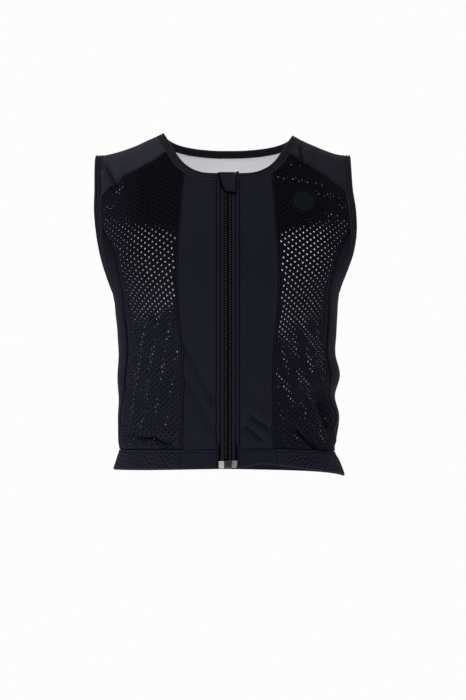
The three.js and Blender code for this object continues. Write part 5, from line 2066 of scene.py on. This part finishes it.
def chest_badge():
    radius, rise = np.array(badge_profile).T[:, :, None]
    turns = np.arange(badge_segments) / badge_segments * 2 * np.pi
    across = badge_centre_across + radius * np.cos(turns)
    height = radius * np.sin(turns) - badge_centre_drop
    foot = mesh_thickness + 0.1
    rings = place(spot_at(True, left, across, height), foot + np.broadcast_to(rise, across.shape))
    middle = np.array([badge_centre_across, badge_centre_across]), np.full(2, -badge_centre_drop)
    ends = place(spot_at(True, left, *middle), np.array([foot, foot + 1.75]))
    points = np.concatenate([rings.reshape(-1, 3), ends])
    faces = sweep_faces(len(badge_profile), badge_segments, False)
    piece = make_piece(
        "chest_badge_rubber", points, faces, points[:, [0, 2]], rubber, ["chest_badge"]
    )
    ring = np.repeat((radius[1:, 0] + radius[:-1, 0]) / 2 > badge_face_radius, badge_segments)
    add_material(piece, ring_rubber, np.concatenate([ring, np.zeros(2 * badge_segments, bool)]))


for side in (left, right):
    front_panel(side)
    side_panel(side)
    shoulder_yoke(side)
    mesh_panel(side)
    front_hems(side)
    armhole_binding(side)
    zip_tape(side)
    zip_welt(side)
    zip_end_tab(side)
back_panel()
back_hem()
neck_binding()
zip_chain()
zip_box()
zip_garage()
chest_badge()

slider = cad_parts["zip_slider"]
slider.data.materials.clear()
slider.data.materials.append(metal)


# Studio: pale floor, white surroundings, soft lights and the camera
def studio_floor(level=-1.35, reach=6.0):
    mesh = bpy.data.meshes.new("studio_floor")
    mesh.from_pydata(
        [(-reach, -reach, level), (reach, -reach, level), (reach, reach, level), (-reach, reach, level)],
        [], [(0, 1, 2, 3)],
    )
    floor = bpy.data.objects.new("studio_floor", mesh)
    bpy.context.scene.collection.objects.link(floor)
    material, g, shader, place_out = new_material("PaleFloor")
    grain = g.add("ShaderNodeTexNoise", Vector=place_out, Scale=3.0, Detail=3.0)[0]
    g.set(shader.inputs["Base Color"], g.blend(grain, (0.86, 0.86, 0.87, 1), (0.9, 0.9, 0.9, 1)))
    shader.inputs["Roughness"].default_value = 0.7
    mesh.materials.append(material)


def soft_light(name, position, target, size, watts):
    light = bpy.data.lights.new(name, "AREA")
    light.shape = "RECTANGLE"
    light.size, light.size_y = size
    light.energy = watts
    lamp = bpy.data.objects.new(name, light)
    lamp.location = position
    aim = Vector(target) - Vector(position)
    lamp.rotation_euler = aim.to_track_quat("-Z", "Y").to_euler()
    bpy.context.scene.collection.objects.link(lamp)


studio_floor()
middle = (0.0, 0.0, -0.22)
soft_light("key_light", (-1.3, -2.0, 2.0), middle, (1.4, 1.4), 35)
soft_light("fill_light", (2.0, -2.4, 0.8), middle, (1.8, 1.8), 12)
soft_light("top_light", (-2.0, -0.4, 1.6), middle, (1.2, 1.0), 32)
soft_light("low_light", (0.0, -0.35, -1.3), middle, (1.2, 0.8), 16)
soft_light("left_rim", (-2.4, 1.0, 0.4), middle, (0.8, 1.8), 5)
soft_light("right_rim", (2.4, 1.0, 0.4), middle, (0.8, 1.8), 5)

world = bpy.data.worlds.new("white_studio")
world.use_nodes = True
world.node_tree.nodes["Background"].inputs[0].default_value = (0.98, 0.98, 0.98, 1)
world.node_tree.nodes["Background"].inputs[1].default_value = 1.0
bpy.context.scene.world = world
bpy.context.scene.view_settings.view_transform = "Standard"

frame_height = 0.98
film_height = 36
camera_distance = 10.0
vest_middle = (0.007, -0.03, -0.284)
camera = bpy.data.objects.new("camera", bpy.data.cameras.new("camera"))
camera.data.sensor_fit = "VERTICAL"
camera.data.sensor_height = film_height
camera.data.lens = film_height * camera_distance / frame_height
camera.location = (vest_middle[0], vest_middle[1] - camera_distance, vest_middle[2])
camera.rotation_euler = (quarter_turn, 0, 0)
bpy.context.scene.collection.objects.link(camera)
bpy.context.scene.camera = camera
